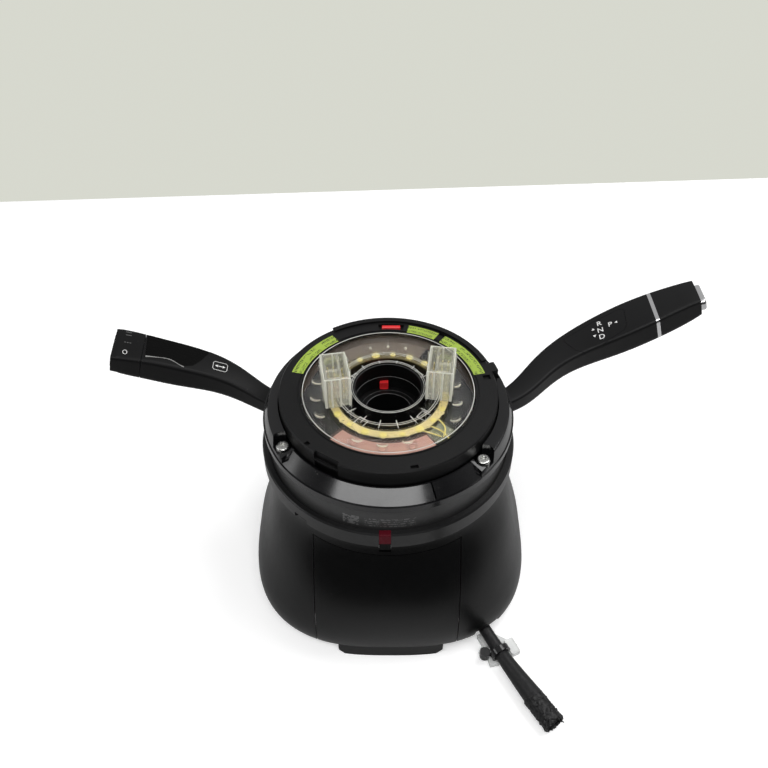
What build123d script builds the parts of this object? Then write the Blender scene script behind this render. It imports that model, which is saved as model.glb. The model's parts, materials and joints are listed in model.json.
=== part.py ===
"""Steering column switch module: clock spring, two stalks and lower shroud.

Millimetres. +Z points up the column towards the driver, +Y is up in the car.
The origin is the centre of the hub bore, level with the clear rotor's face.
"""

import os
from math import atan2, cos, hypot, pi, radians, sin, tan

from build123d import *

os.makedirs("parts", exist_ok=True)

# ---------------------------------------------------------------- clearances
RUN_GAP = 0.05  # radial play of a pin in its bore
MATE_GAP = 0.1  # gap round a piece that is clipped or keyed into another
MOVE_GAP = 0.3  # gap beside a piece that moves past another
COVER_GAP = 0.8  # visible gap round the clock spring

# -------------------------------------------------------------- clock spring
HUB_BORE_R = 18.0
HUB_LINER_T = 0.8
HUB_WALL = 1.2
HUB_TOP = 2.0
HUB_BORE_END = -16.0
CHANNEL_WIDTH = 6.6
CHANNEL_FLOOR = -6.5
CHANNEL_FLOOR_T = 1.5
SPOOL_WALL = 1.4
SPOOL_TOP = 1.0
CHANNEL_RIBS = 16
KEY_WIDTH = 4.3
KEY_X = -2.3
KEY_TOP = -12.5
KEY_END = -15.7
DISC_R = 46.0
DISC_T = 2.0
DISC_BEAD = 0.5
RETAINER_WIDTH = 3.0
RETAINER_TOP = -3.4
RETAINER_T = 1.2
WINDOW_SIZE = 5.0
WINDOW_ANGLES = (-128, -37, 48, 139.5)

CASE_PLAY = 0.5
CASE_WALL = 2.3
CASE_FLOOR = -20.0
CASE_FLOOR_T = 1.6

PLATE_WIDTH = 11.7
PLATE_T = 3.0
PLATE_SKIRT = 9.6
PLATE_SKIRT_WALL = 2.2
LIP_HEIGHT = 1.2
LIP_WIDTH = 3.0
LATCH_ANGLE = -122.3
LATCH_WIDTH = 14.2
LATCH_INSET = 2.1
LATCH_BAR = (1.2, -5.6, -4.4)
# inset from the plate's edge, angle and size of each snap hole
SNAP_HOLES = (
    (2.0, -136, (2.5, 2.5)),
    (2.5, -77, (2.2, 4.0)),
    (4.5, 55, (2.5, 5.0)),
    (4.5, 9.6, (4.0, 3.5)),
)
RECESS_INSET = 4.6
RECESS_WIDTH = 4.5
RECESS_DEPTH = 1.8
LOCK_BAR_SIZE = (10.6, 2.2)
LOCK_BAR_X = 1.8

RIBBON_BUILD = 4.2
RIBBON_TEETH = 16
RIBBON_TOP = -3.2
CARRIER_PLAY = 2.1
CARRIER_TOP = -5.2
ROLLER_R = 3.2
SHIELD_T = 0.3

# --------------------------------------------------------------- drive train
SHAFT_BORE_R = 12.5
DRIVE_END = -28.0
SLEEVE_R = 15.0
GEAR_MODULE = 0.8
DRIVE_TEETH = 72
SENSOR_TEETH = (24, 22)
SENSOR_ANGLES = (60, 120)
GEAR_TOP = -24.0
GEAR_T = 3.0
GEAR_PLAY = 0.25
SENSOR_HUB = 3.0
SENSOR_HUB_R = 3.4
POST_R = 1.9

# ------------------------------------------------------------ module housing
BAND_STEP = 2.0
BAND_WALL = 2.2
BAND_TOP = -19.0
BAND_END = -36.5
DECK_T = 2.0
DECK_PLAY = 1.75
BASE_STEP = 1.5
FLOOR_END = -47.2
FLOOR_T = 2.2
WELL_R = 20.5
WELL_WALL = 2.0
WELL_TOP = -30.0
BOARD_TOP = -41.4
BOARD_T = 1.6
BOARD_PLAY = 1.5
SOCKET_Y = 50.0
SOCKET_SIZE = (26.0, 10.0)
SOCKET_WALL = 1.6
SOCKET_END = -60.0
SOCKET_DEPTH = 13.0

# --------------------------------------------------------------- upper cover
COVER_WIDTH = 8.7
COVER_RIM_TOP = -15.4
WING_STEP = 0.5
WING_TOP = -5.2
WING_TOP_WIDTH = 5.0
WING_SHIFT = -3.5
RAMP_START = -144.0
RAMP_ARC = 98.0
RAMP_SEAM = -70.0
RAMP_TOP = -9.6
SCREW_INSET = 3.5
SCREW_ANGLES = (-150, -40, 90)
SCREW_POCKET_R = 5.2
SCREW_POCKET_Z = -12.6
SCREW_HEAD_R = 3.5
SCREW_HEAD_T = 2.6
SCREW_R = 1.5
SCREW_LENGTH = 14.0
BOSS_R = 3.2

# ------------------------------------------------------ trim ring and shroud
TRIM_STEP = 4.2
TRIM_TOP = -34.4
TRIM_SKIRT_END = -44.2
TRIM_NOTCH_ANGLE = -130.8
TRIM_NOTCH = (8.6, -40.8)
TAB_WIDTH = 6.0
TAB_X = -1.8
TAB_NOTCH_END = -51.2
SHROUD_WALL = 2.4
SHROUD_STEP = 2.9
RIM_Z = -120.5
LEDGE_PLAY = 2.0
PANEL_LEFT = -40.0
PANEL_RIGHT = 38.6
RAIL_WIDTH = 2.0
RAIL_DEPTH = 4.0
RAIL_END = -98.0
PANEL_TOP = -53.0
PANEL_SEAM = 0.4
FOOT_Z = -130.0
FOOT_LEFT = -28.0
FOOT_RIGHT = 31.0
FOOT_CHAMFER = 3.5
CABLE_NOTCH = (18.0, 6.0)
CABLE_NOTCH_ANGLE = -52.0
# level, half width, front reach, back reach, squareness and middle of the
# shroud, each reach given beyond the shroud's top
SHROUD_SECTIONS = (
    (FLOOR_END, 0.0, 0.0, 0.0, 2.0, 0.0),
    (-58.0, 0.3, 4.0, -0.5, 2.1, 1.0),
    (-72.0, 2.6, 11.4, 0.2, 2.35, 1.7),
    (-90.0, 7.1, 17.2, 0.7, 2.6, 1.7),
    (-105.0, 11.7, 18.5, 1.2, 2.8, 1.4),
    (RIM_Z, 12.7, 16.5, 1.2, 2.8, 1.4),
)

# -------------------------------------------------------------- column clamp
CLAMP_BORE_R = 20.0
CLAMP_WALL = 3.5
CLAMP_END = -84.0
CLAMP_FLANGE_R = 34.0
CLAMP_FLANGE_T = 3.0
CLAMP_SCREW_PITCH_R = 29.0
CLAMP_SCREW_ANGLES = (-30, 90, 210)
CLAMP_SLIT = 3.0
CLAMP_EAR = (12.0, 8.0, 16.0)
CLAMP_BOLT_R = 3.0

# -------------------------------------------------------------------- levers
PIVOT_X = 46.0
PIVOT_Y = 6.0
LEVER_ROOT = (67.8, 18.0)
LEVER_MID_Z = -28.0
PIN_R = 2.0
CROSS_PIN_R = 1.6
CROSS_PIN_X = 6.8
YOKE_IN = 7.0
YOKE_OUT = 10.0
YOKE_HALF = 7.0
YOKE_TOP = -23.0
YOKE_END = -39.7
FORK_HALF = 3.6
TONGUE_R = 3.2
NECK_START = 11.5
NECK_WIDTH = 10.0
NECK_HEIGHT = 10.0
WINDOW_HALF = 10.5
WINDOW_END = -35.5
DETENT_Z = -34.0
PLUNGER_R = 1.8
PLUNGER_REACH = 9.5
TRACK_WALL = 2.5
TRACK_HALF_ANGLE = 40.0
# x, y, top level, facing angle, width and height of each stalk section
TURN_STATIONS = (
    (-67.8, 18.0, -22.0, 28.0, 11.5, 11.8),
    (-82.3, 25.5, -17.0, 24.0, 14.0, 14.6),
    (-93.6, 29.2, -12.0, 14.0, 17.6, 15.9),
    (-108.8, 30.8, -6.0, 3.0, 21.1, 17.0),
    (-122.9, 30.4, -0.5, -3.0, 22.5, 17.2),
    (-136.6, 29.9, 4.2, -4.0, 24.0, 16.2),
    (-148.2, 29.2, 7.5, -4.0, 25.6, 13.4),
)
SELECTOR_STATIONS = (
    (67.8, 18.0, -22.0, 30.0, 11.5, 11.8),
    (82.0, 29.0, -18.2, 36.0, 14.4, 13.6),
    (96.2, 41.5, -13.0, 30.0, 17.2, 15.0),
    (120.4, 51.6, -3.0, 12.0, 23.8, 16.6),
    (135.7, 53.9, 5.0, 3.0, 26.8, 16.6),
    (151.1, 55.6, 12.6, 0.0, 25.8, 16.4),
    (165.4, 57.4, 18.6, 0.0, 22.4, 15.6),
    (174.5, 58.3, 21.6, 0.0, 20.4, 12.6),
)

# ---------------------------------------------------------------- stalk ends
RING_LENGTH = 13.0
SPIGOT_R = 4.5
SPIGOT_LENGTH = 5.0
WASH_SIZE = (21.5, 9.4)
WASH_INSIDE = 3.4
WASH_PROUD = 3.6
WASH_TRAVEL = 2.0
WASH_PITCH = 15.0
POCKET_DEPTH = 1.7
POCKET_OUTLINE = (
    (18.8, -18.0),
    (16.4, 8.0),
    (10.5, 7.2),
    (3.3, 6.1),
    (-1.2, 7.8),
    (-5.3, 9.1),
    (-10.0, 7.0),
    (-13.8, 1.8),
    (-17.8, -6.4),
    (-15.0, -18.0),
)
LINER_T = 0.9
BAND_T = 2.0
TIP_LENGTH = 24.0
PARK_SIZE = (16.5, 7.6)
PARK_INSIDE = 4.0
PARK_PROUD = 3.4
PARK_TRAVEL = 2.5
PARK_PITCH = 18.0
PANEL_T = 0.8
PANEL_OUTLINE = (
    (-18.0, 7.4),
    (-14.0, -3.4),
    (-9.0, -7.4),
    (-0.5, -7.6),
    (15.2, -6.0),
    (18.0, -3.6),
    (21.6, 9.5),
    (19.0, 11.4),
    (2.0, 11.2),
)

# ---------------------------------------------------------- connector towers
TOWER_SIZE = (13.0, 20.0, 20.0)
TOWER_PLACES = {"left": (-27.6, -4.0, 10.0), "right": (27.6, 1.0, -8.0)}
TOWER_WALL = 1.3
CELL_DEPTH = 15.0

# ------------------------------------------------------------------- harness
CABLE_R = 4.3
GLAND_R = 6.5
GLAND_END = -56.0
HARNESS_ROUTE = (
    (32.6, -32.8, GLAND_END),
    (32.6, -32.8, -82.7),
    (37.8, -42.0, -104.0),
    (47.2, -58.4, -118.0),
    (58.0, -77.6, -121.4),
    (67.2, -94.4, -122.3),
    (78.8, -112.6, -122.8),
)
WRAP_R = 6.4
WRAP_LENGTH = 20.0
TIE_WIDTH = 3.2
TIE_T = 1.3
TIE_GAP = 0.25
TIE_HEAD_R = 2.9
TIE_HEAD_AT = (54.3, -86.0)
CLIP_SIZE = (20.0, 19.5, 2.0)
CLIP_AT = (63.0, -78.3)
CLIP_TURN = 13.0


# ----------------------------------------------------------- shared geometry
def polar(radius, angle, level=0.0):
    """Return the point at a radius and angle about the column axis."""
    return (radius * cos(radians(angle)), radius * sin(radians(angle)), level)


def upright_plane(angle=0.0):
    """Return the radius-and-height plane that stands at an angle."""
    out = (cos(radians(angle)), sin(radians(angle)), 0)
    return Plane(origin=(0, 0, 0), x_dir=out, z_dir=(out[1], -out[0], 0))


def turned(profile, start=0.0, arc=360.0, mode=Mode.ADD):
    """Revolve a closed radius-and-height profile about the column axis."""
    with BuildSketch(upright_plane(start)) as section:
        with BuildLine():
            Polyline(*profile, close=True)
        make_face()
    revolve(section.sketch, axis=Axis.Z, revolution_arc=arc, mode=mode)


def ring(inner, outer, low, high, start=0.0, arc=360.0, mode=Mode.ADD):
    """Add or cut a plain ring, or a sector of one."""
    turned(((inner, low), (outer, low), (outer, high), (inner, high)), start, arc, mode)


def disc(radius, low, high, centre=(0, 0), mode=Mode.ADD):
    """Add or cut an upright cylinder."""
    with BuildSketch(Plane.XY.offset(low)) as section:
        with Locations(centre):
            Circle(radius)
    extrude(section.sketch, amount=high - low, mode=mode)


def block(size, centre, low, high, angle=0.0, mode=Mode.ADD):
    """Add or cut an upright box that is turned about its own centre."""
    with BuildSketch(Plane.XY.offset(low)) as section:
        with Locations(Location((*centre, 0), (0, 0, angle))):
            Rectangle(*size)
    extrude(section.sketch, amount=high - low, mode=mode)


def finish(piece, name):
    """Label a finished piece and write its STEP file."""
    piece.part.label = name
    export_step(piece.part, f"parts/{name}.step")


HUB_LINER_R = HUB_BORE_R + HUB_LINER_T
HUB_IN_R = HUB_LINER_R + RUN_GAP
HUB_OUT_R = HUB_IN_R + HUB_WALL
CHANNEL_R = HUB_OUT_R + CHANNEL_WIDTH
CHANNEL_MIDDLE_R = (HUB_OUT_R + CHANNEL_R) / 2
KEY_Y = (HUB_BORE_R + HUB_OUT_R) / 2 + 0.15
KEY_SIZE = (KEY_WIDTH, HUB_OUT_R - HUB_BORE_R + 0.2)
SPOOL_R = CHANNEL_R + SPOOL_WALL
JOURNAL_R = HUB_OUT_R + 0.7
THRUST_R = JOURNAL_R + 2.2
RETAINER_R = DISC_R + RETAINER_WIDTH
CARRIER_IN_R = SPOOL_R + MATE_GAP + RIBBON_BUILD + CARRIER_PLAY
CARRIER_OUT_R = DISC_R - 2.2
ROLLER_PITCH_R = (CARRIER_IN_R + CARRIER_OUT_R) / 2
PLATE_IN_R = DISC_R + COVER_GAP
PLATE_R = PLATE_IN_R + PLATE_WIDTH
PLATE_SKIRT_IN_R = PLATE_R - PLATE_SKIRT_WALL
CASE_R = PLATE_SKIRT_IN_R - CASE_PLAY
CASE_IN_R = CASE_R - CASE_WALL
CASE_FLOOR_TOP = CASE_FLOOR + CASE_FLOOR_T
COVER_IN_R = PLATE_R + COVER_GAP
COVER_R = COVER_IN_R + COVER_WIDTH
WING_R = COVER_R - WING_STEP
WING_TOP_R = COVER_IN_R + WING_TOP_WIDTH
SCREW_PITCH_R = COVER_IN_R + SCREW_INSET
BAND_R = COVER_R - BAND_STEP
BAND_IN_R = BAND_R - BAND_WALL
BASE_R = BAND_R - BASE_STEP
BASE_IN_R = BASE_R - BAND_WALL
BASE_POST_R = BASE_IN_R - 6.3
DECK_IN_R = JOURNAL_R + DECK_PLAY
DECK_TOP = CASE_FLOOR
DECK_END = DECK_TOP - DECK_T
FLOOR_TOP = FLOOR_END + FLOOR_T
BOARD_IN_R = WELL_R + WELL_WALL + BOARD_PLAY
BOARD_OUT_R = BASE_IN_R - BOARD_PLAY
TRIM_R = BAND_R + TRIM_STEP
TRIM_IN_R = BAND_R + COVER_GAP
TAB_IN_R = TRIM_IN_R + MATE_GAP
SHROUD_TOP_R = TRIM_R - SHROUD_STEP
LEDGE_IN_R = CLAMP_FLANGE_R + LEDGE_PLAY
PITCH_ANGLE = 360 / RIBBON_TEETH
GEAR_END = GEAR_TOP - GEAR_T
SENSOR_PITCH_R = [GEAR_MODULE * (DRIVE_TEETH + teeth) / 2 + GEAR_PLAY for teeth in SENSOR_TEETH]


def key_slot():
    """Cut the slot in the hub's walls that the centring key stands in."""
    width, depth = KEY_SIZE
    size = (width + 2 * MATE_GAP, depth + 4 * MATE_GAP)
    block(size, (KEY_X, KEY_Y), KEY_END - MATE_GAP, KEY_TOP + MATE_GAP, mode=Mode.SUBTRACT)


# ============================================================== clock spring
# Clear rotor: hub tube, open channel, ribbon spool and disc in one moulding.
with BuildPart() as clear_rotor:
    turned(
        (
            (HUB_IN_R, HUB_TOP),
            (HUB_IN_R, CASE_FLOOR - 0.4),
            (JOURNAL_R, CASE_FLOOR - 0.4),
            (JOURNAL_R, CASE_FLOOR_TOP + MOVE_GAP),
            (THRUST_R, CASE_FLOOR_TOP + MOVE_GAP),
            (THRUST_R, CASE_FLOOR_TOP + MOVE_GAP + 1.5),
            (HUB_OUT_R, CASE_FLOOR_TOP + MOVE_GAP + 1.5),
            (HUB_OUT_R, CHANNEL_FLOOR - CHANNEL_FLOOR_T),
            (CHANNEL_R, CHANNEL_FLOOR - CHANNEL_FLOOR_T),
            (CHANNEL_R, CASE_FLOOR_TOP + 1.0),
            (SPOOL_R, CASE_FLOOR_TOP + 1.0),
            (SPOOL_R, -DISC_T),
            (DISC_R - 1.4, -DISC_T),
            (DISC_R - 1.4, RETAINER_TOP - RETAINER_T),
            (RETAINER_R, RETAINER_TOP - RETAINER_T),
            (RETAINER_R, RETAINER_TOP),
            (DISC_R, RETAINER_TOP),
            (DISC_R, DISC_BEAD),
            (DISC_R - 1.0, DISC_BEAD),
            (DISC_R - 1.0, 0),
            (SPOOL_R, 0),
            (SPOOL_R, SPOOL_TOP),
            (CHANNEL_R, SPOOL_TOP),
            (CHANNEL_R, CHANNEL_FLOOR),
            (HUB_OUT_R, CHANNEL_FLOOR),
            (HUB_OUT_R, HUB_TOP),
        )
    )
    with BuildSketch(Plane.XY.offset(CHANNEL_FLOOR)) as ribs:
        with PolarLocations(CHANNEL_MIDDLE_R, CHANNEL_RIBS, start_angle=11.25):
            Rectangle(CHANNEL_R - HUB_OUT_R + 0.4, 0.9)
    extrude(ribs.sketch, amount=3.2)
    for angle in WINDOW_ANGLES:
        centre = polar(CHANNEL_MIDDLE_R, angle)[:2]
        size = (WINDOW_SIZE, WINDOW_SIZE)
        block(size, centre, CHANNEL_FLOOR - CHANNEL_FLOOR_T - 1, CHANNEL_FLOOR + 4, angle, Mode.SUBTRACT)
    key_slot()
finish(clear_rotor, "clear_rotor")

# Red key that locks the centred rotor until the wheel is fitted.
with BuildPart() as centring_key:
    width, depth = KEY_SIZE
    block(KEY_SIZE, (KEY_X, KEY_Y), KEY_END, KEY_TOP)
    block((width + 2.7, 1.2), (KEY_X, HUB_OUT_R + 0.75), KEY_END - 0.7, KEY_TOP + 0.7)
finish(centring_key, "centring_key")

# Black drive ring that lines the hub and takes the steering shaft's splines.
with BuildPart() as drive_ring:
    turned(
        (
            (SHAFT_BORE_R, HUB_BORE_END),
            (HUB_BORE_R, HUB_BORE_END),
            (HUB_BORE_R, HUB_TOP - 0.4),
            (HUB_LINER_R, HUB_TOP - 0.4),
            (HUB_LINER_R, CASE_FLOOR - 0.4),
            (JOURNAL_R - 0.3, CASE_FLOOR - 0.4),
            (JOURNAL_R - 0.3, CASE_FLOOR - 2.4),
            (SLEEVE_R, CASE_FLOOR - 2.4),
            (SLEEVE_R, DRIVE_END),
            (SHAFT_BORE_R, DRIVE_END),
        )
    )
    key_slot()
finish(drive_ring, "drive_ring")

# Yellow inner ribbon coil, wound on the spool with its lead-in lobes on top.
with BuildPart() as ribbon_inner_coil:
    inner = SPOOL_R + MATE_GAP
    ring(inner, inner + RIBBON_BUILD, CASE_FLOOR_TOP + 1.2, RIBBON_TOP)
    with BuildSketch(Plane.XY.offset(RIBBON_TOP - 2.4)) as lobes:
        with PolarLocations(inner + RIBBON_BUILD - 0.9, RIBBON_TEETH, start_angle=-5):
            Circle(1.5)
    extrude(lobes.sketch, amount=2.4)
    ring(inner - 1, inner + 0.01, CASE_FLOOR_TOP, RIBBON_TOP + 0.1, mode=Mode.SUBTRACT)
finish(ribbon_inner_coil, "ribbon_inner_coil")

# Outer ribbon coil, lining the wall of the case.
with BuildPart() as ribbon_outer_coil:
    outer = CASE_IN_R - MATE_GAP
    ring(outer - 3.2, outer, CASE_FLOOR_TOP, RETAINER_TOP - RETAINER_T - 0.6)
finish(ribbon_outer_coil, "ribbon_outer_coil")

# Carrier that runs between the coils and turns the ribbon round.
with BuildPart() as ribbon_carrier:
    ring(CARRIER_IN_R, CARRIER_OUT_R, CARRIER_TOP - 1.0, CARRIER_TOP)
    ring(ROLLER_PITCH_R - 0.7, ROLLER_PITCH_R + 0.7, CASE_FLOOR_TOP + MOVE_GAP, CARRIER_TOP - 1.0)
    with BuildSketch(Plane.XY.offset(CASE_FLOOR_TOP + MOVE_GAP)) as guides:
        with PolarLocations(ROLLER_PITCH_R, RIBBON_TEETH, start_angle=PITCH_ANGLE / 2):
            Rectangle(7.0, 1.2)
    extrude(guides.sketch, amount=4.0)
finish(ribbon_carrier, "ribbon_carrier")

with BuildPart() as carrier_rollers:
    with BuildSketch(Plane.XY.offset(CARRIER_TOP)) as stems:
        with PolarLocations(ROLLER_PITCH_R, RIBBON_TEETH, start_angle=-5):
            Circle(1.0)
    extrude(stems.sketch, amount=0.6)
    with BuildSketch(Plane.XY.offset(CARRIER_TOP + 0.5)) as wheels:
        with PolarLocations(ROLLER_PITCH_R, RIBBON_TEETH, start_angle=-5):
            Circle(ROLLER_R)
    extrude(wheels.sketch, amount=1.6)
    with BuildSketch(Plane.XY.offset(CARRIER_TOP + 1.5)) as dishes:
        with PolarLocations(ROLLER_PITCH_R, RIBBON_TEETH, start_angle=-5):
            Circle(ROLLER_R - 0.6)
    extrude(dishes.sketch, amount=0.7, mode=Mode.SUBTRACT)
finish(carrier_rollers, "carrier_rollers")


def make_shield(start, arc):
    """Return a foil sector that lies on the carrier, pierced for the roller stems."""
    with BuildPart() as foil:
        ring(CARRIER_IN_R + 0.2, CARRIER_OUT_R - 0.2, CARRIER_TOP, CARRIER_TOP + SHIELD_T, start, arc)
        with BuildSketch(Plane.XY.offset(CARRIER_TOP - 0.1)) as holes:
            with PolarLocations(ROLLER_PITCH_R, RIBBON_TEETH, start_angle=-5):
                Circle(1.3)
        extrude(holes.sketch, amount=SHIELD_T + 0.2, mode=Mode.SUBTRACT)
    return foil


front_shield = make_shield(-133, 77)
finish(front_shield, "front_shield")
rear_shield = make_shield(60, 70)
finish(rear_shield, "rear_shield")

# Case that holds the coils.
with BuildPart() as stator_case:
    turned(
        (
            (JOURNAL_R + RUN_GAP, CASE_FLOOR),
            (CASE_R, CASE_FLOOR),
            (CASE_R, -PLATE_T),
            (CASE_IN_R, -PLATE_T),
            (CASE_IN_R, CASE_FLOOR_TOP),
            (JOURNAL_R + RUN_GAP, CASE_FLOOR_TOP),
        )
    )
finish(stator_case, "stator_case")

# Black top plate with its snap windows, raised rear lip and dark recess.
with BuildPart() as top_plate:
    turned(
        (
            (PLATE_IN_R, -PLATE_T),
            (PLATE_SKIRT_IN_R, -PLATE_T),
            (PLATE_SKIRT_IN_R, -PLATE_SKIRT),
            (PLATE_R, -PLATE_SKIRT),
            (PLATE_R, -0.6),
            (PLATE_R - 0.6, 0),
            (PLATE_IN_R + 1.7, 0),
            (PLATE_IN_R + 1.7, -0.5),
            (PLATE_IN_R + 0.7, -0.5),
            (PLATE_IN_R + 0.7, 0),
            (PLATE_IN_R, 0),
        )
    )
    ring(PLATE_R - LIP_WIDTH, PLATE_R, 0, LIP_HEIGHT, 22, 101)
    block((4.5, 7.0), polar(PLATE_R + 1.2, 17)[:2], -PLATE_SKIRT, 0, 17)
    ring(COVER_IN_R + 2.6, COVER_IN_R + 8, -PLATE_SKIRT - 1, 1, mode=Mode.SUBTRACT)
    # latch window through the rim, with the latch's bar across it
    latch_reach = LATCH_INSET + 2
    latch_centre = polar(PLATE_R - LATCH_INSET + latch_reach / 2, LATCH_ANGLE)[:2]
    block((latch_reach, LATCH_WIDTH), latch_centre, -PLATE_SKIRT - 1, 1, LATCH_ANGLE, Mode.SUBTRACT)
    bar_t, bar_end, bar_top = LATCH_BAR
    bar_arc = 360 * (LATCH_WIDTH + 1) / (2 * pi * PLATE_R)
    bar_start = LATCH_ANGLE - bar_arc / 2
    ring(PLATE_R - bar_t, PLATE_R - MATE_GAP, bar_end, bar_top, bar_start, bar_arc)
    # four small snap holes, and the dark recess behind the lock bar
    for inset, angle, size in SNAP_HOLES:
        block(size, polar(PLATE_R - inset, angle)[:2], -1.6, 1, angle, Mode.SUBTRACT)
    recess_r = PLATE_R - RECESS_INSET
    ring(recess_r - RECESS_WIDTH, recess_r, -RECESS_DEPTH, 1, 80, 16, Mode.SUBTRACT)
finish(top_plate, "top_plate")

# Red bar that shows in the recess at the top of the plate.
with BuildPart() as lock_bar:
    block(LOCK_BAR_SIZE, (LOCK_BAR_X, recess_r - RECESS_WIDTH / 2), -RECESS_DEPTH, 0.3)
    chamfer(lock_bar.edges().group_by(Axis.Z)[-1], 0.4)
finish(lock_bar, "lock_bar")


# -------------------------------------------------------- connector towers
def make_tower(place):
    """Return one clear connector tower standing on the rotor."""
    x, y, turn = place
    width, depth, height = TOWER_SIZE
    base = Plane(origin=(x, y, 0), x_dir=(cos(radians(turn)), sin(radians(turn)), 0), z_dir=(0, 0, 1))
    side = 1 if x > 0 else -1
    with BuildPart(base) as tower:
        with BuildSketch(base) as foot:
            Rectangle(width, depth)
            with Locations((side * width / 2, 0)):
                Rectangle(2.4, depth * 0.55)
            with Locations((-side * width / 2, -depth * 0.22)):
                Circle(1.2)
            with Locations((-side * width / 2, depth * 0.22)):
                Circle(1.2)
        extrude(foot.sketch, amount=height)
        with BuildSketch(base.offset(height)) as cells:
            with Locations((side * 1.8, depth * 0.16)):
                Rectangle(width - 6.6, depth * 0.52)
            with Locations((-side * 4.0, 0)):
                Rectangle(2.6, depth - 2 * TOWER_WALL)
            with Locations((side * 1.8, -depth * 0.31)):
                Rectangle(width - 6.6, depth * 0.22)
        extrude(cells.sketch, amount=-CELL_DEPTH, mode=Mode.SUBTRACT)
        ring(HUB_BORE_R, SPOOL_R + 0.1, -1, SPOOL_TOP, mode=Mode.SUBTRACT)
        ring(0, HUB_OUT_R + 0.3, -1, height + 1, mode=Mode.SUBTRACT)
    return tower


def make_terminals(place):
    """Return the blade terminals that stand in one tower."""
    x, y, turn = place
    width, depth, height = TOWER_SIZE
    side = 1 if x > 0 else -1
    base = Plane(origin=(x, y, 0), x_dir=(cos(radians(turn)), sin(radians(turn)), 0), z_dir=(0, 0, 1))
    floor = height - CELL_DEPTH
    with BuildPart(base) as blades:
        with BuildSketch(base.offset(floor)) as feet:
            with Locations((side * 1.8, depth * 0.16)):
                with GridLocations(3.0, 3.0, 2, 3):
                    Rectangle(0.7, 1.2)
            with Locations((-side * 4.0, 0)):
                with GridLocations(1, 4.2, 1, 3):
                    Rectangle(0.7, 1.2)
        extrude(feet.sketch, amount=8.5)
    return blades


for side_name, tower_place in TOWER_PLACES.items():
    finish(make_tower(tower_place), f"{side_name}_connector_tower")
    finish(make_terminals(tower_place), f"{side_name}_tower_terminals")


# =============================================================== drive train
def gear_outline(teeth, gear_module, phase):
    """Return the corner points of a straight-flanked gear, with one tooth at the phase angle."""
    pitch_r = gear_module * teeth / 2
    root_r = pitch_r - 1.15 * gear_module
    tip_r = pitch_r + 0.9 * gear_module
    step = 360 / teeth
    outline = []
    for tooth in range(teeth):
        centre = phase + tooth * step
        for radius, share in ((root_r, -0.36), (tip_r, -0.13), (tip_r, 0.13), (root_r, 0.36)):
            outline.append(polar(radius, centre + share * step)[:2])
    return outline


with BuildPart() as sensor_drive_gear:
    with BuildSketch(Plane.XY.offset(GEAR_END)) as teeth_face:
        with BuildLine():
            Polyline(*gear_outline(DRIVE_TEETH, GEAR_MODULE, 0), close=True)
        make_face()
        Circle(SLEEVE_R + MATE_GAP, mode=Mode.SUBTRACT)
        with PolarLocations(21.5, 6):
            Circle(2.6, mode=Mode.SUBTRACT)
    extrude(teeth_face.sketch, amount=GEAR_T)
finish(sensor_drive_gear, "sensor_drive_gear")


def make_sensor_gear(teeth, angle, pitch_r):
    """Return one angle-sensor gear on its hub, in mesh with the drive gear."""
    centre = polar(pitch_r, angle)
    base = Plane(origin=centre, x_dir=(1, 0, 0), z_dir=(0, 0, 1))
    with BuildPart() as gear:
        with BuildSketch(base.offset(GEAR_END)) as face:
            with BuildLine():
                Polyline(*gear_outline(teeth, GEAR_MODULE, angle + 180 + 180 / teeth), close=True)
            make_face()
        extrude(face.sketch, amount=GEAR_T)
        with BuildSketch(base.offset(GEAR_END - SENSOR_HUB)) as hub:
            Circle(SENSOR_HUB_R)
        extrude(hub.sketch, amount=SENSOR_HUB)
        with BuildSketch(base.offset(GEAR_END - SENSOR_HUB)) as bore:
            Circle(POST_R + RUN_GAP)
        extrude(bore.sketch, amount=SENSOR_HUB + GEAR_T, mode=Mode.SUBTRACT)
    return gear


SENSOR_CENTRES = [polar(r, a)[:2] for r, a in zip(SENSOR_PITCH_R, SENSOR_ANGLES)]
for letter, teeth, angle, pitch_r in zip("ab", SENSOR_TEETH, SENSOR_ANGLES, SENSOR_PITCH_R):
    finish(make_sensor_gear(teeth, angle, pitch_r), f"sensor_gear_{letter}")


# ============================================================ lever stations
def lever_plane(side):
    """Return the plane at a lever's pivot, with x along the neck (side is -1 or 1)."""
    run = (side * (LEVER_ROOT[0] - PIVOT_X), LEVER_ROOT[1] - PIVOT_Y, 0)
    return Plane(origin=(side * PIVOT_X, PIVOT_Y, 0), x_dir=run, z_dir=(0, 0, 1))


TURN_PLANE = lever_plane(-1)
SELECTOR_PLANE = lever_plane(1)
NECK_SLOT = (34.0 - NECK_START, 2 * WINDOW_HALF)


def neck_passage(side, low, high):
    """Cut the room that a lever's neck sweeps in the wall or deck round it."""
    plane = lever_plane(side)
    with BuildSketch(plane.offset(low)) as passage:
        with Locations((NECK_START + NECK_SLOT[0] / 2 - 4, 0)):
            Rectangle(*NECK_SLOT)
    extrude(passage.sketch, amount=high - low, mode=Mode.SUBTRACT)


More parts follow.
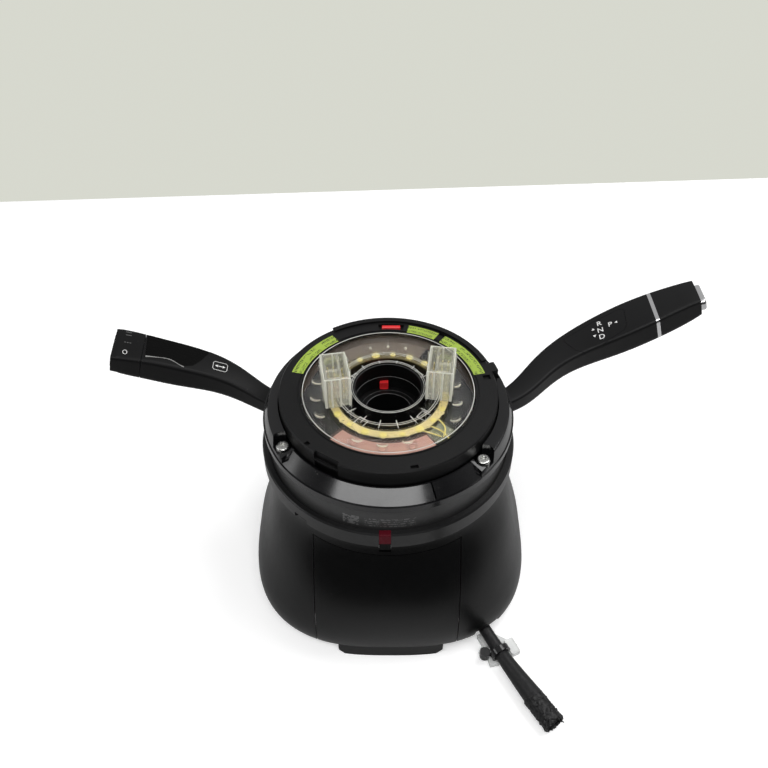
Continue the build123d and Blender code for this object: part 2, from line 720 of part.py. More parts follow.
# ============================================================ module housing
with BuildPart() as module_housing:
    turned(
        (
            (BAND_R, BAND_TOP),
            (BAND_R, BAND_END),
            (BASE_R, BAND_END),
            (BASE_R, FLOOR_END),
            (WELL_R, FLOOR_END),
            (WELL_R, WELL_TOP),
            (WELL_R + WELL_WALL, WELL_TOP),
            (WELL_R + WELL_WALL, FLOOR_TOP),
            (BASE_IN_R, FLOOR_TOP),
            (BASE_IN_R, DECK_END),
            (BAND_IN_R, DECK_END),
            (BAND_IN_R, BAND_TOP),
        )
    )
    for angle in SCREW_ANGLES:
        disc(BOSS_R, BAND_END, BAND_TOP, polar(SCREW_PITCH_R - 0.6, angle)[:2])
    for side in (-1, 1):
        disc(3.6, FLOOR_TOP, YOKE_END - MOVE_GAP, (side * PIVOT_X, PIVOT_Y))
        disc(PIN_R + RUN_GAP, FLOOR_TOP - 1.2, YOKE_END, (side * PIVOT_X, PIVOT_Y), Mode.SUBTRACT)
        neck_passage(side, WINDOW_END, BAND_TOP)
    for centre in SENSOR_CENTRES:
        disc(3.0, FLOOR_TOP, GEAR_END - SENSOR_HUB - MOVE_GAP, centre)
        disc(POST_R, FLOOR_TOP, GEAR_TOP + 0.4, centre)
    for angle in (0, 130, 180, 230, 310):
        disc(2.4, FLOOR_TOP, BOARD_TOP - BOARD_T, polar(BASE_POST_R, angle)[:2])
    for angle in SCREW_ANGLES:
        centre = polar(SCREW_PITCH_R, angle)[:2]
        disc(SCREW_R + RUN_GAP, -30, BAND_TOP, centre, Mode.SUBTRACT)
    slot = (SOCKET_SIZE[0] + 2 * MATE_GAP, SOCKET_SIZE[1] + 2 * MATE_GAP)
    block(slot, (0, SOCKET_Y), FLOOR_END - 1, FLOOR_TOP + 0.1, mode=Mode.SUBTRACT)
    with BuildSketch(Plane.XY.offset(FLOOR_END)) as flange_screws:
        for angle in CLAMP_SCREW_ANGLES:
            with Locations(polar(CLAMP_SCREW_PITCH_R, angle)[:2]):
                Circle(SCREW_R + RUN_GAP)
    extrude(flange_screws.sketch, amount=FLOOR_T, mode=Mode.SUBTRACT)
finish(module_housing, "module_housing")

# Deck that carries the clock spring over the switches.
with BuildPart() as support_deck:
    ring(DECK_IN_R, BAND_IN_R - MATE_GAP, DECK_END, DECK_TOP)
    for angle in SCREW_ANGLES:
        centre = polar(SCREW_PITCH_R - 0.6, angle)[:2]
        disc(BOSS_R + 2 * MATE_GAP, DECK_END, DECK_TOP, centre, Mode.SUBTRACT)
    for side in (-1, 1):
        disc(PIN_R + RUN_GAP, DECK_END, DECK_TOP, (side * PIVOT_X, PIVOT_Y), Mode.SUBTRACT)
        neck_passage(side, DECK_END, DECK_TOP)
finish(support_deck, "support_deck")

with BuildPart() as circuit_board:
    ring(BOARD_IN_R, BOARD_OUT_R, BOARD_TOP - BOARD_T, BOARD_TOP)
    for centre in SENSOR_CENTRES + [(-PIVOT_X, PIVOT_Y), (PIVOT_X, PIVOT_Y)]:
        disc(4.4, BOARD_TOP - BOARD_T, BOARD_TOP, centre, Mode.SUBTRACT)
finish(circuit_board, "circuit_board")

# Chips, sensors and coils on the board, clear of the levers above.
with BuildPart() as board_components:
    for radius, angle, size, height in (
        (34.0, -60, (10.0, 10.0), 1.6),
        (36.0, -100, (7.0, 12.0), 2.4),
        (50.0, -85, (8.0, 6.0), 3.2),
        (46.0, -120, (9.0, 9.0), 5.0),
        (48.0, -60, (6.0, 6.0), 4.0),
        (52.0, 60, (6.0, 9.0), 3.0),
        (52.0, 120, (6.0, 9.0), 3.0),
        (30.0, 90, (5.0, 8.0), 1.4),
        (36.0, 150, (5.0, 5.0), 1.4),
        (33.0, 25, (5.0, 7.0), 1.8),
    ):
        block(size, polar(radius, angle)[:2], BOARD_TOP, BOARD_TOP + height, angle)
finish(board_components, "board_components")

with BuildPart() as board_connector:
    low = BOARD_TOP - BOARD_T
    block(SOCKET_SIZE, (0, SOCKET_Y), SOCKET_END, low)
    fillet(board_connector.edges().filter_by(Axis.Z), 1.0)
    cavity = (SOCKET_SIZE[0] - 2 * SOCKET_WALL, SOCKET_SIZE[1] - 2 * SOCKET_WALL)
    block(cavity, (0, SOCKET_Y), SOCKET_END, SOCKET_END + SOCKET_DEPTH, mode=Mode.SUBTRACT)
finish(board_connector, "board_connector")

with BuildPart() as connector_pins:
    with BuildSketch(Plane.XY.offset(SOCKET_END + SOCKET_DEPTH)) as pins:
        with Locations((0, SOCKET_Y)):
            with GridLocations(2.6, 3.0, 8, 2):
                Rectangle(0.64, 0.64)
    extrude(pins.sketch, amount=-7.5)
finish(connector_pins, "connector_pins")

# =============================================================== upper cover
with BuildPart() as upper_cover:
    with BuildSketch(Plane.XY.offset(COVER_RIM_TOP)) as wing_foot:
        Circle(WING_R)
    with BuildSketch(Plane.XY.offset(WING_TOP)) as wing_top:
        with Locations((0, WING_SHIFT)):
            Circle(WING_TOP_R)
    loft([wing_foot.sketch, wing_top.sketch])
    fillet(upper_cover.edges().group_by(Axis.Z)[-1], 1.2)
    sector = dict(start=RAMP_START, arc=RAMP_ARC)
    ring(1.0, COVER_R + 5, COVER_RIM_TOP, WING_TOP + 1, mode=Mode.SUBTRACT, **sector)
    disc(COVER_R, BAND_TOP, COVER_RIM_TOP)
    ramp = (
        (COVER_IN_R - 3, COVER_RIM_TOP - 1),
        (WING_R - 0.2, COVER_RIM_TOP - 1),
        (WING_R - 0.2, COVER_RIM_TOP + 0.6),
        (COVER_IN_R + 0.9, RAMP_TOP),
        (COVER_IN_R - 3, RAMP_TOP),
    )
    turned(ramp, RAMP_START - 0.5, RAMP_ARC + 1)
    disc(COVER_IN_R, BAND_TOP - 1, WING_TOP + 1, mode=Mode.SUBTRACT)
    # fine step in the ramp and the ear's recess
    ring(COVER_IN_R + 0.4, COVER_R + 1, COVER_RIM_TOP + 0.3, RAMP_TOP + 1, RAMP_SEAM, 0.7, Mode.SUBTRACT)
    block((6.0, 9.0), polar(PLATE_R + 1.2, 17)[:2], -PLATE_SKIRT - 1, 0, 17, Mode.SUBTRACT)
    for angle in SCREW_ANGLES:
        centre = polar(SCREW_PITCH_R, angle)[:2]
        disc(SCREW_POCKET_R, SCREW_POCKET_Z, 0, centre, Mode.SUBTRACT)
        disc(SCREW_R + 2 * MATE_GAP, BAND_TOP - 1, SCREW_POCKET_Z + 0.1, centre, Mode.SUBTRACT)
finish(upper_cover, "upper_cover")

with BuildPart() as cover_screws:
    for angle in SCREW_ANGLES:
        centre = polar(SCREW_PITCH_R, angle)[:2]
        disc(SCREW_HEAD_R, SCREW_POCKET_Z, SCREW_POCKET_Z + SCREW_HEAD_T, centre)
        disc(SCREW_R, SCREW_POCKET_Z - SCREW_LENGTH, SCREW_POCKET_Z, centre)
    fillet(cover_screws.edges().group_by(Axis.Z)[-1], 0.9)
    for angle in SCREW_ANGLES:
        centre = polar(SCREW_PITCH_R, angle)[:2]
        for turn in (20, 80, 140):
            block((3.4, 0.9), centre, SCREW_POCKET_Z + 1.2, 0, turn, Mode.SUBTRACT)
finish(cover_screws, "cover_screws")


# ====================================================== trim ring and shroud
def oval_points(half_width, front, back, squareness, count=28):
    """Return points round an oval whose squareness is 2 for an ellipse."""
    outline = []
    for index in range(count):
        angle = radians(360 * index / count)
        across, along = cos(angle), sin(angle)
        reach = back if along > 0 else front
        power = 2 / squareness
        x = half_width * abs(across) ** power * (1 if across > 0 else -1)
        y = reach * abs(along) ** power * (1 if along > 0 else -1)
        outline.append((x, y))
    return outline


def shroud_oval(section, inset):
    """Draw one shroud section, moved inwards by an inset, on the open sketch plane."""
    _, half_width, front, back, squareness, middle = section
    reaches = (SHROUD_TOP_R + size - inset for size in (half_width, front, back))
    points = oval_points(*reaches, squareness)
    with BuildLine() as rim:
        Spline(*[(x + middle, y) for x, y in points], periodic=True)
    make_face(rim.edges())


def shroud_form(inset, drop=0.0):
    """Loft the shroud's form, moved inwards by an inset."""
    sections = []
    for section in SHROUD_SECTIONS:
        level = section[0] - drop if section[0] == RIM_Z else section[0]
        with BuildSketch(Plane.XY.offset(level)) as outline:
            shroud_oval(section, inset)
        sections.append(outline.sketch)
    with BuildPart() as form:
        loft(sections)
    return form.part


def tab_slot(inner, low, high):
    """Cut the slot that the index tab is pressed into, from a radius outwards."""
    width = TAB_WIDTH + 2 * MATE_GAP
    block((width, 10), (TAB_X, -inner - 5), low, high, mode=Mode.SUBTRACT)


shroud_outer = shroud_form(0)
shroud_inner = shroud_form(SHROUD_WALL, drop=1.0)

# Feet that carry the wall on down from the rim at front and back.
with BuildPart() as shroud_feet:
    with BuildSketch(Plane.XY.offset(FOOT_Z)) as rim_face:
        shroud_oval(SHROUD_SECTIONS[-1], MATE_GAP)
    extrude(rim_face.sketch, amount=RIM_Z + 0.6 - FOOT_Z)
    with BuildSketch(Plane.XY.offset(FOOT_Z)) as rim_hollow:
        shroud_oval(SHROUD_SECTIONS[-1], SHROUD_WALL)
    extrude(rim_hollow.sketch, amount=RIM_Z + 0.6 - FOOT_Z, mode=Mode.SUBTRACT)
    with BuildSketch(Plane.XZ) as front_view:
        with Locations(((FOOT_LEFT + FOOT_RIGHT) / 2, (RIM_Z + 2 + FOOT_Z) / 2)):
            Rectangle(FOOT_RIGHT - FOOT_LEFT, RIM_Z + 2 - FOOT_Z)
        chamfer(front_view.vertices().group_by(Axis.Z)[0], FOOT_CHAMFER)
    extrude(front_view.sketch, amount=2 * SHROUD_TOP_R, both=True, mode=Mode.INTERSECT)

with BuildPart() as shroud_shell:
    add(shroud_outer)
    add(shroud_inner, mode=Mode.SUBTRACT)
    add(shroud_feet.part)
    notch = polar(SHROUD_TOP_R + 20.7, CABLE_NOTCH_ANGLE)[:2]
    width, height = CABLE_NOTCH
    block((60, width), notch, RIM_Z - 1, RIM_Z + height, CABLE_NOTCH_ANGLE, Mode.SUBTRACT)

with BuildPart() as shroud_front_panel:
    add(shroud_shell.part)
    with BuildSketch(Plane.XY.offset(FOOT_Z - 1)) as window:
        with Locations(((PANEL_LEFT + PANEL_RIGHT) / 2, -65)):
            Rectangle(PANEL_RIGHT - PANEL_LEFT - 2 * PANEL_SEAM, 80)
    extrude(window.sketch, amount=PANEL_TOP - PANEL_SEAM - FOOT_Z + 1, mode=Mode.INTERSECT)
finish(shroud_front_panel, "shroud_front_panel")

# Rails inside the shell beside the front seams, which the panel clips to.
with BuildPart() as clip_rails:
    with BuildSketch(Plane.XY.offset(RAIL_END)) as rail_feet:
        with Locations((PANEL_LEFT - RAIL_WIDTH / 2, -60), (PANEL_RIGHT + RAIL_WIDTH / 2, -60)):
            Rectangle(RAIL_WIDTH, 60)
    extrude(rail_feet.sketch, amount=PANEL_TOP - RAIL_END)
    add(shroud_inner, mode=Mode.INTERSECT)
    add(shroud_form(SHROUD_WALL + RAIL_DEPTH, drop=1.0), mode=Mode.SUBTRACT)

with BuildPart() as shroud_main:
    add(shroud_shell.part)
    panel_middle = (PANEL_LEFT + PANEL_RIGHT) / 2
    block((PANEL_RIGHT - PANEL_LEFT, 80), (panel_middle, -65), FOOT_Z - 1, PANEL_TOP, mode=Mode.SUBTRACT)
    ring(LEDGE_IN_R, SHROUD_TOP_R - 1.2, FLOOR_END - 2.4, FLOOR_END)
    add(clip_rails.part)
    block((SOCKET_SIZE[0] + 6, SOCKET_SIZE[1] + 6), (0, SOCKET_Y), -52, -46, mode=Mode.SUBTRACT)
    disc(GLAND_R + 1.0, -52, -46, HARNESS_ROUTE[0][:2], Mode.SUBTRACT)
    tab_slot(SHROUD_TOP_R - SHROUD_WALL - 1, TAB_NOTCH_END, FLOOR_END + 1)
finish(shroud_main, "shroud_main")

with BuildPart() as trim_ring:
    turned(
        (
            (BASE_R + MATE_GAP, FLOOR_END),
            (SHROUD_TOP_R - 0.4, FLOOR_END),
            (SHROUD_TOP_R, FLOOR_END + 0.8),
            (TRIM_R, TRIM_SKIRT_END),
            (TRIM_R, TRIM_TOP - 0.8),
            (TRIM_R - 0.8, TRIM_TOP),
            (TRIM_IN_R, TRIM_TOP),
            (TRIM_IN_R, BAND_END - MOVE_GAP),
            (BASE_R + MATE_GAP, BAND_END - MOVE_GAP),
        )
    )
    tab_slot(TRIM_IN_R, FLOOR_END - 1, TRIM_TOP + 1)
    notch_width, notch_top = TRIM_NOTCH
    notch_centre = polar(TRIM_R, TRIM_NOTCH_ANGLE)[:2]
    notch_size = (2 * (SHROUD_STEP - 0.4), notch_width)
    block(notch_size, notch_centre, FLOOR_END - 1, notch_top, TRIM_NOTCH_ANGLE, Mode.SUBTRACT)
    for side in (-1, 1):
        neck_passage(side, WINDOW_END - 1, TRIM_TOP + 1)
finish(trim_ring, "trim_ring")

with BuildPart() as index_tab:
    depth = TRIM_R - TAB_IN_R
    block((TAB_WIDTH, depth), (TAB_X, -(TRIM_R + TAB_IN_R) / 2), FLOOR_END + MATE_GAP, TRIM_TOP)
    fillet(index_tab.edges().filter_by(Axis.X).group_by(Axis.Y)[0], 0.8)
finish(index_tab, "index_tab")

# ============================================================== column clamp
with BuildPart() as column_clamp:
    turned(
        (
            (CLAMP_BORE_R, FLOOR_END),
            (CLAMP_FLANGE_R, FLOOR_END),
            (CLAMP_FLANGE_R, FLOOR_END - CLAMP_FLANGE_T),
            (CLAMP_BORE_R + CLAMP_WALL, FLOOR_END - CLAMP_FLANGE_T),
            (CLAMP_BORE_R + CLAMP_WALL, CLAMP_END),
            (CLAMP_BORE_R, CLAMP_END),
        )
    )
    ear_width, ear_reach, ear_height = CLAMP_EAR
    ear_y = CLAMP_BORE_R + CLAMP_WALL + ear_reach / 2 - 0.6
    block((ear_width + CLAMP_SLIT, ear_reach + 3), (0, ear_y), CLAMP_END, CLAMP_END + ear_height)
    block((CLAMP_SLIT, 30), (0, CLAMP_BORE_R + 10), CLAMP_END - 1, CLAMP_END + 26, mode=Mode.SUBTRACT)
    bolt_level = CLAMP_END + ear_height / 2
    bolt_y = CLAMP_BORE_R + CLAMP_WALL + ear_reach / 2 + 1.0
    with BuildSketch(Plane(origin=(0, bolt_y, bolt_level), x_dir=(0, 1, 0), z_dir=(1, 0, 0))) as bolt_hole:
        Circle(CLAMP_BOLT_R + 2 * MATE_GAP)
    extrude(bolt_hole.sketch, amount=20, both=True, mode=Mode.SUBTRACT)
    with BuildSketch(Plane.XY.offset(FLOOR_END)) as screw_holes:
        for angle in CLAMP_SCREW_ANGLES:
            with Locations(polar(CLAMP_SCREW_PITCH_R, angle)[:2]):
                Circle(SCREW_R + 2 * MATE_GAP)
    extrude(screw_holes.sketch, amount=-CLAMP_FLANGE_T, mode=Mode.SUBTRACT)
finish(column_clamp, "column_clamp")

with BuildPart() as clamp_fastener:
    half = (ear_width + CLAMP_SLIT) / 2
    axis_plane = Plane(origin=(0, bolt_y, bolt_level), x_dir=(0, 1, 0), z_dir=(1, 0, 0))
    with BuildSketch(axis_plane.offset(-half - 4.0)) as shank:
        Circle(CLAMP_BOLT_R)
    extrude(shank.sketch, amount=2 * half + 9.0)
    with BuildSketch(axis_plane.offset(-half - 4.0)) as head:
        RegularPolygon(5.0, 6)
    extrude(head.sketch, amount=4.0)
    with BuildSketch(axis_plane.offset(half)) as nut:
        RegularPolygon(5.0, 6)
    extrude(nut.sketch, amount=4.0)
finish(clamp_fastener, "clamp_fastener")

with BuildPart() as clamp_screws:
    for angle in CLAMP_SCREW_ANGLES:
        centre = polar(CLAMP_SCREW_PITCH_R, angle)[:2]
        low = FLOOR_END - CLAMP_FLANGE_T
        disc(SCREW_R, low, FLOOR_TOP - 0.2, centre)
        disc(2.8, low - 2.0, low, centre)
finish(clamp_screws, "clamp_screws")


# ================================================================ lever roots
def local_block(plane, x_range, half_width, low, high, mode=Mode.ADD):
    """Add or cut a box that is given along and across a lever's neck."""
    start, end = x_range
    with BuildSketch(plane.offset(low)) as section:
        with Locations(((start + end) / 2, 0)):
            Rectangle(end - start, 2 * half_width)
    extrude(section.sketch, amount=high - low, mode=mode)


def cross_cylinder(plane, radius, half_length, mode=Mode.ADD):
    """Add or cut a cylinder across the neck at the cross pin."""
    centre = plane.from_local_coords((CROSS_PIN_X, 0, LEVER_MID_Z))
    across = Plane(origin=centre, x_dir=plane.x_dir, z_dir=plane.y_dir)
    with BuildSketch(across) as section:
        Circle(radius)
    extrude(section.sketch, amount=half_length, both=True, mode=mode)


def make_yoke(plane):
    """Return the forked block that turns on a lever's upright pin."""
    with BuildPart() as yoke:
        local_block(plane, (-YOKE_IN, YOKE_OUT), YOKE_HALF, YOKE_END, YOKE_TOP)
        fillet(yoke.edges().filter_by(Axis.Z), 1.5)
        with BuildSketch(plane.offset(YOKE_TOP)) as washer:
            Circle(3.2)
        extrude(washer.sketch, amount=DECK_END - MOVE_GAP - YOKE_TOP)
        with BuildSketch(plane.offset(YOKE_END)) as bore:
            Circle(PIN_R + RUN_GAP)
        extrude(bore.sketch, amount=DECK_END - YOKE_END, mode=Mode.SUBTRACT)
        slot_start = CROSS_PIN_X - TONGUE_R - 0.5
        local_block(plane, (slot_start, YOKE_OUT + 1), FORK_HALF, YOKE_END - 1, YOKE_TOP + 1, Mode.SUBTRACT)
        cross_cylinder(plane, CROSS_PIN_R + RUN_GAP, YOKE_HALF + 1, Mode.SUBTRACT)
        nose_centre = plane.from_local_coords((-YOKE_IN, 0, DETENT_Z))
        nose = Plane(origin=nose_centre, x_dir=plane.y_dir, z_dir=plane.x_dir)
        with BuildSketch(nose) as socket:
            Circle(PLUNGER_R + RUN_GAP)
        extrude(socket.sketch, amount=4.0, mode=Mode.SUBTRACT)
    return yoke


def make_plunger(plane):
    """Return the sprung detent plunger in the inner end of a yoke."""
    tail = -YOKE_IN + 3.8
    nose_centre = -PLUNGER_REACH + PLUNGER_R
    tail_centre = plane.from_local_coords((tail, 0, DETENT_Z))
    start = Plane(origin=tail_centre, x_dir=plane.y_dir, z_dir=-plane.x_dir)
    with BuildPart() as plunger:
        with BuildSketch(start) as stem:
            Circle(PLUNGER_R)
        extrude(stem.sketch, amount=tail - nose_centre)
        with Locations(plane.from_local_coords((nose_centre, 0, DETENT_Z))):
            Sphere(PLUNGER_R)
    return plunger


def make_pivot_pin(plane):
    """Return the upright pin between the housing floor and the deck."""
    with BuildPart() as pin:
        low = FLOOR_TOP - 1.0
        with BuildSketch(plane.offset(low)) as section:
            Circle(PIN_R)
        extrude(section.sketch, amount=DECK_TOP - 0.3 - low)
    return pin


def make_cross_pin(plane):
    """Return the pin through the fork and the lever's tongue."""
    with BuildPart() as pin:
        cross_cylinder(plane, CROSS_PIN_R, YOKE_HALF - 0.2)
    return pin


finish(make_yoke(TURN_PLANE), "turn_yoke")
finish(make_plunger(TURN_PLANE), "turn_detent_plunger")
finish(make_pivot_pin(TURN_PLANE), "turn_pivot_pin")
finish(make_cross_pin(TURN_PLANE), "turn_cross_pin")
finish(make_yoke(SELECTOR_PLANE), "selector_yoke")
finish(make_plunger(SELECTOR_PLANE), "selector_detent_plunger")
finish(make_pivot_pin(SELECTOR_PLANE), "selector_pivot_pin")
finish(make_cross_pin(SELECTOR_PLANE), "selector_cross_pin")

# Notched tracks that hang from the deck beside the plungers.
with BuildPart() as detent_tracks:
    for plane in (TURN_PLANE, SELECTOR_PLANE):
        inner = PLUNGER_REACH + MOVE_GAP
        with BuildSketch(plane.offset(DETENT_Z - 2.6)) as track:
            Circle(inner + TRACK_WALL)
            Circle(inner, mode=Mode.SUBTRACT)
            reach = 2 * (inner + TRACK_WALL)
            with BuildLine():
                edge = tan(radians(TRACK_HALF_ANGLE)) * reach
                Polyline((0, 0), (-reach, edge), (-reach, -edge), close=True)
            make_face(mode=Mode.INTERSECT)
            with PolarLocations(inner, 3, start_angle=166, angular_range=28, endpoint=True):
                Circle(0.8, mode=Mode.SUBTRACT)
        extrude(track.sketch, amount=DECK_END - DETENT_Z + 2.6)
finish(detent_tracks, "detent_tracks")


# ================================================================ lever forms
def section_plane(stations, index):
    """Return the plane of one stalk section, square to the rise of the stalk."""
    x, y, top, facing, _, height = stations[index]
    before = stations[max(index - 1, 0)]
    after = stations[min(index + 1, len(stations) - 1)]
    run = hypot(after[0] - before[0], after[1] - before[1])
    pitch = atan2(after[2] - before[2], run)
    side = 1 if x > 0 else -1
    heading = radians(facing)
    ahead = Vector(side * cos(heading) * cos(pitch), sin(heading) * cos(pitch), sin(pitch))
    across = Vector(side * sin(heading), -cos(heading), 0)
    up = ahead.cross(across) * (1 if ahead.cross(across).Z > 0 else -1)
    centre = Vector(x, y, top) - up * (height / 2)
    return Plane(origin=centre, x_dir=across, z_dir=across.cross(up))


def stalk_section(plane, width, height):
    """Return a crowned stalk section with a narrower underside."""
    half, up = width / 2, height / 2
    with BuildSketch(plane) as section:
        with BuildLine():
            Polyline((half, up - 0.5), (half * 0.92, -up), (-half * 0.92, -up), (-half, up - 0.5))
            ThreePointArc((-half, up - 0.5), (0, up), (half, up - 0.5))
        make_face()
        fillet(section.vertices().group_by(Axis.Y)[0], 0.28 * height)
        fillet(section.vertices().group_by(Axis.Y)[-1], 0.13 * height)
    return section.sketch


def make_stalk(stations, root_plane):
    """Return the whole outer form of a stalk from its neck to its tip."""
    root_centre = root_plane.from_local_coords((NECK_START, 0, LEVER_MID_Z))
    across = -root_plane.y_dir if root_plane.origin.X > 0 else root_plane.y_dir
    neck = Plane(origin=root_centre, x_dir=across, z_dir=across.cross(Vector(0, 0, 1)))
    sections = [stalk_section(neck, NECK_WIDTH, NECK_HEIGHT)]
    for index, station in enumerate(stations):
        sections.append(stalk_section(section_plane(stations, index), station[4], station[5]))
    with BuildPart() as stalk:
        loft(sections)
    return stalk.part


turn_form = make_stalk(TURN_STATIONS, TURN_PLANE)
selector_form = make_stalk(SELECTOR_STATIONS, SELECTOR_PLANE)


def end_plane(stations, pitch, back=0.0):
    """Return the plane across a stalk near its tip, facing outwards, with y up."""
    x, y, top, facing, _, height = stations[-1]
    side = 1 if x > 0 else -1
    heading = radians(facing)
    rise = radians(pitch)
    out = Vector(side * cos(heading) * cos(rise), sin(heading) * cos(rise), sin(rise))
    across = Vector(side * sin(heading), -cos(heading), 0)
    up = out.cross(across) * (1 if out.cross(across).Z > 0 else -1)
    centre = Vector(x, y, top) - up * (height / 2) - out * back
    return Plane(origin=centre, x_dir=up.cross(out), z_dir=out)


def tongue(plane):
    """Add the tongue that joins a stalk to its yoke."""
    cross_cylinder(plane, TONGUE_R, FORK_HALF - MOVE_GAP)
    local_block(
        plane,
        (CROSS_PIN_X, NECK_START + 1),
        FORK_HALF - MOVE_GAP,
        LEVER_MID_Z - TONGUE_R,
        LEVER_MID_Z + TONGUE_R,
    )
    cross_cylinder(plane, CROSS_PIN_R + RUN_GAP, YOKE_HALF + 1, Mode.SUBTRACT)


def keep_root_side(plane):
    """Keep the part on the root side of an outward-facing plane."""
    split(bisect_by=plane, keep=Keep.BOTTOM)


def slab(form, near, far):
    """Return the slice of a stalk form between two outward-facing planes."""
    with BuildPart() as piece:
        add(form)
        split(bisect_by=near, keep=Keep.TOP)
        split(bisect_by=far, keep=Keep.BOTTOM)
    return piece.part


# ---------------------------------------------------------------- turn stalk
TURN_END = end_plane(TURN_STATIONS, WASH_PITCH)
RING_START = end_plane(TURN_STATIONS, WASH_PITCH, RING_LENGTH)
RING_SEAM = end_plane(TURN_STATIONS, WASH_PITCH, RING_LENGTH - MOVE_GAP)


def pocket_outline(shrink=0.0):
    """Draw the thumb recess, which runs out over the stalk's far edge, on the open plane."""
    with BuildLine() as edge:
        Polyline(*POCKET_OUTLINE, close=True)
    make_face(edge.edges())
    if shrink:
        offset(amount=-shrink)


pocket_centre = Vector(-118.8, 31.6, -2.4)
pocket_across = Vector(0.03, -1, 0).normalized()
pocket_along = Vector(-0.92, -0.03, 0.36).normalized()
pocket_up = pocket_across.cross(pocket_along)
pocket_up = pocket_up * (1 if pocket_up.Z > 0 else -1)
POCKET_PLANE = Plane(origin=pocket_centre, x_dir=pocket_along, z_dir=pocket_up)

with BuildPart() as turn_lever:
    add(turn_form)
    keep_root_side(RING_START)
    tongue(TURN_PLANE)
    with BuildSketch(POCKET_PLANE.offset(-POCKET_DEPTH)) as recess:
        pocket_outline()
    extrude(recess.sketch, amount=12, mode=Mode.SUBTRACT)
    with BuildSketch(RING_START) as spigot:
        Circle(SPIGOT_R)
    extrude(spigot.sketch, amount=SPIGOT_LENGTH)
finish(turn_lever, "turn_lever")

with BuildPart() as pocket_liner:
    with BuildSketch(POCKET_PLANE.offset(-POCKET_DEPTH)) as pad:
        pocket_outline(MATE_GAP)
    extrude(pad.sketch, amount=LINER_T)
    add(turn_form, mode=Mode.INTERSECT)
finish(pocket_liner, "pocket_liner")

with BuildPart() as wiper_ring:
    add(slab(turn_form, RING_SEAM, TURN_END))
    with BuildSketch(RING_START) as bore:
        Circle(SPIGOT_R + RUN_GAP)
    extrude(bore.sketch, amount=SPIGOT_LENGTH + MOVE_GAP, mode=Mode.SUBTRACT)
    with BuildSketch(TURN_END) as well:
        Rectangle(WASH_SIZE[0] + 2 * MOVE_GAP, WASH_SIZE[1] + 2 * MOVE_GAP)
        fillet(well.vertices(), 3.0)
    extrude(well.sketch, amount=-(WASH_INSIDE + WASH_TRAVEL + MOVE_GAP), mode=Mode.SUBTRACT)
finish(wiper_ring, "wiper_ring")

with BuildPart() as wash_button:
    with BuildSketch(TURN_END.offset(-WASH_INSIDE)) as key:
        Rectangle(*WASH_SIZE)
        fillet(key.vertices(), 2.7)
    extrude(key.sketch, amount=WASH_INSIDE + WASH_PROUD)
    out_axis = Axis((0, 0, 0), TURN_END.z_dir)
    fillet(wash_button.faces().sort_by(out_axis)[-1].edges(), 1.4)
finish(wash_button, "wash_button")

# ------------------------------------------------------------ selector stalk
SELECTOR_END = end_plane(SELECTOR_STATIONS, PARK_PITCH)
BAND_START = end_plane(SELECTOR_STATIONS, PARK_PITCH, TIP_LENGTH + BAND_T)
TIP_START = end_plane(SELECTOR_STATIONS, PARK_PITCH, TIP_LENGTH)

PANEL_PLANE = Plane(
    origin=(119.5, 47.5, -2.4),
    x_dir=Vector(0.906, 0.1812, 0.3825),
    z_dir=Vector(-0.389, 0, 0.9212),
)


def panel_zone(shrink):
    """Return the shallow zone under the selector's top face that the mark panel fills."""
    step = PANEL_PLANE.z_dir * -PANEL_T
    with BuildPart() as zone:
        with BuildSketch(PANEL_PLANE.offset(-6)) as outline:
            with BuildLine():
                Polyline(*PANEL_OUTLINE, close=True)
            make_face()
            fillet(outline.vertices(), 1.2)
            if shrink:
                offset(amount=-shrink)
        extrude(outline.sketch, amount=14)
        add(selector_form.moved(Location(step)), mode=Mode.SUBTRACT)
    return zone.part


with BuildPart() as selector_lever:
    add(selector_form)
    keep_root_side(BAND_START)
    tongue(SELECTOR_PLANE)
    add(panel_zone(0), mode=Mode.SUBTRACT)
finish(selector_lever, "selector_lever")

# Printed panel that carries the selector's marks.
with BuildPart() as selector_panel:
    add(selector_form)
    add(panel_zone(0.2), mode=Mode.INTERSECT)
finish(selector_panel, "selector_panel")

with BuildPart() as selector_trim_band:
    add(slab(selector_form, BAND_START, TIP_START))
finish(selector_trim_band, "selector_trim_band")

with BuildPart() as selector_tip_cap:
    add(slab(selector_form, TIP_START, SELECTOR_END))
    with BuildSketch(SELECTOR_END) as well:
        Rectangle(PARK_SIZE[0] + 2 * MOVE_GAP, PARK_SIZE[1] + 2 * MOVE_GAP)
        fillet(well.vertices(), 2.6)
    extrude(well.sketch, amount=-(PARK_INSIDE + PARK_TRAVEL + MOVE_GAP), mode=Mode.SUBTRACT)
finish(selector_tip_cap, "selector_tip_cap")

with BuildPart() as park_button:
    with BuildSketch(SELECTOR_END.offset(-PARK_INSIDE)) as key:
        Rectangle(*PARK_SIZE)
        fillet(key.vertices(), 2.3)
    extrude(key.sketch, amount=PARK_INSIDE + PARK_PROUD)
    out_axis = Axis((0, 0, 0), SELECTOR_END.z_dir)
    fillet(park_button.faces().sort_by(out_axis)[-1].edges(), 1.2)
finish(park_button, "park_button")

# =================================================================== harness
with BuildPart() as harness_gland:
    x, y = HARNESS_ROUTE[0][:2]
    disc(GLAND_R, GLAND_END, FLOOR_END, (x, y))
    disc(GLAND_R - 1.6, GLAND_END, GLAND_END + 0.01, (x, y))
finish(harness_gland, "harness_gland")


def route_radii(route):
    """Return the largest tangent-arc radius that each corner of a route allows."""
    radii = []
    for before, corner, after in zip(route, route[1:], route[2:]):
        into = Vector(*corner) - Vector(*before)
        out = Vector(*after) - Vector(*corner)
        turn = into.get_angle(out)
        radii.append(0.45 * min(into.length, out.length) / tan(radians(turn / 2)))
    return radii


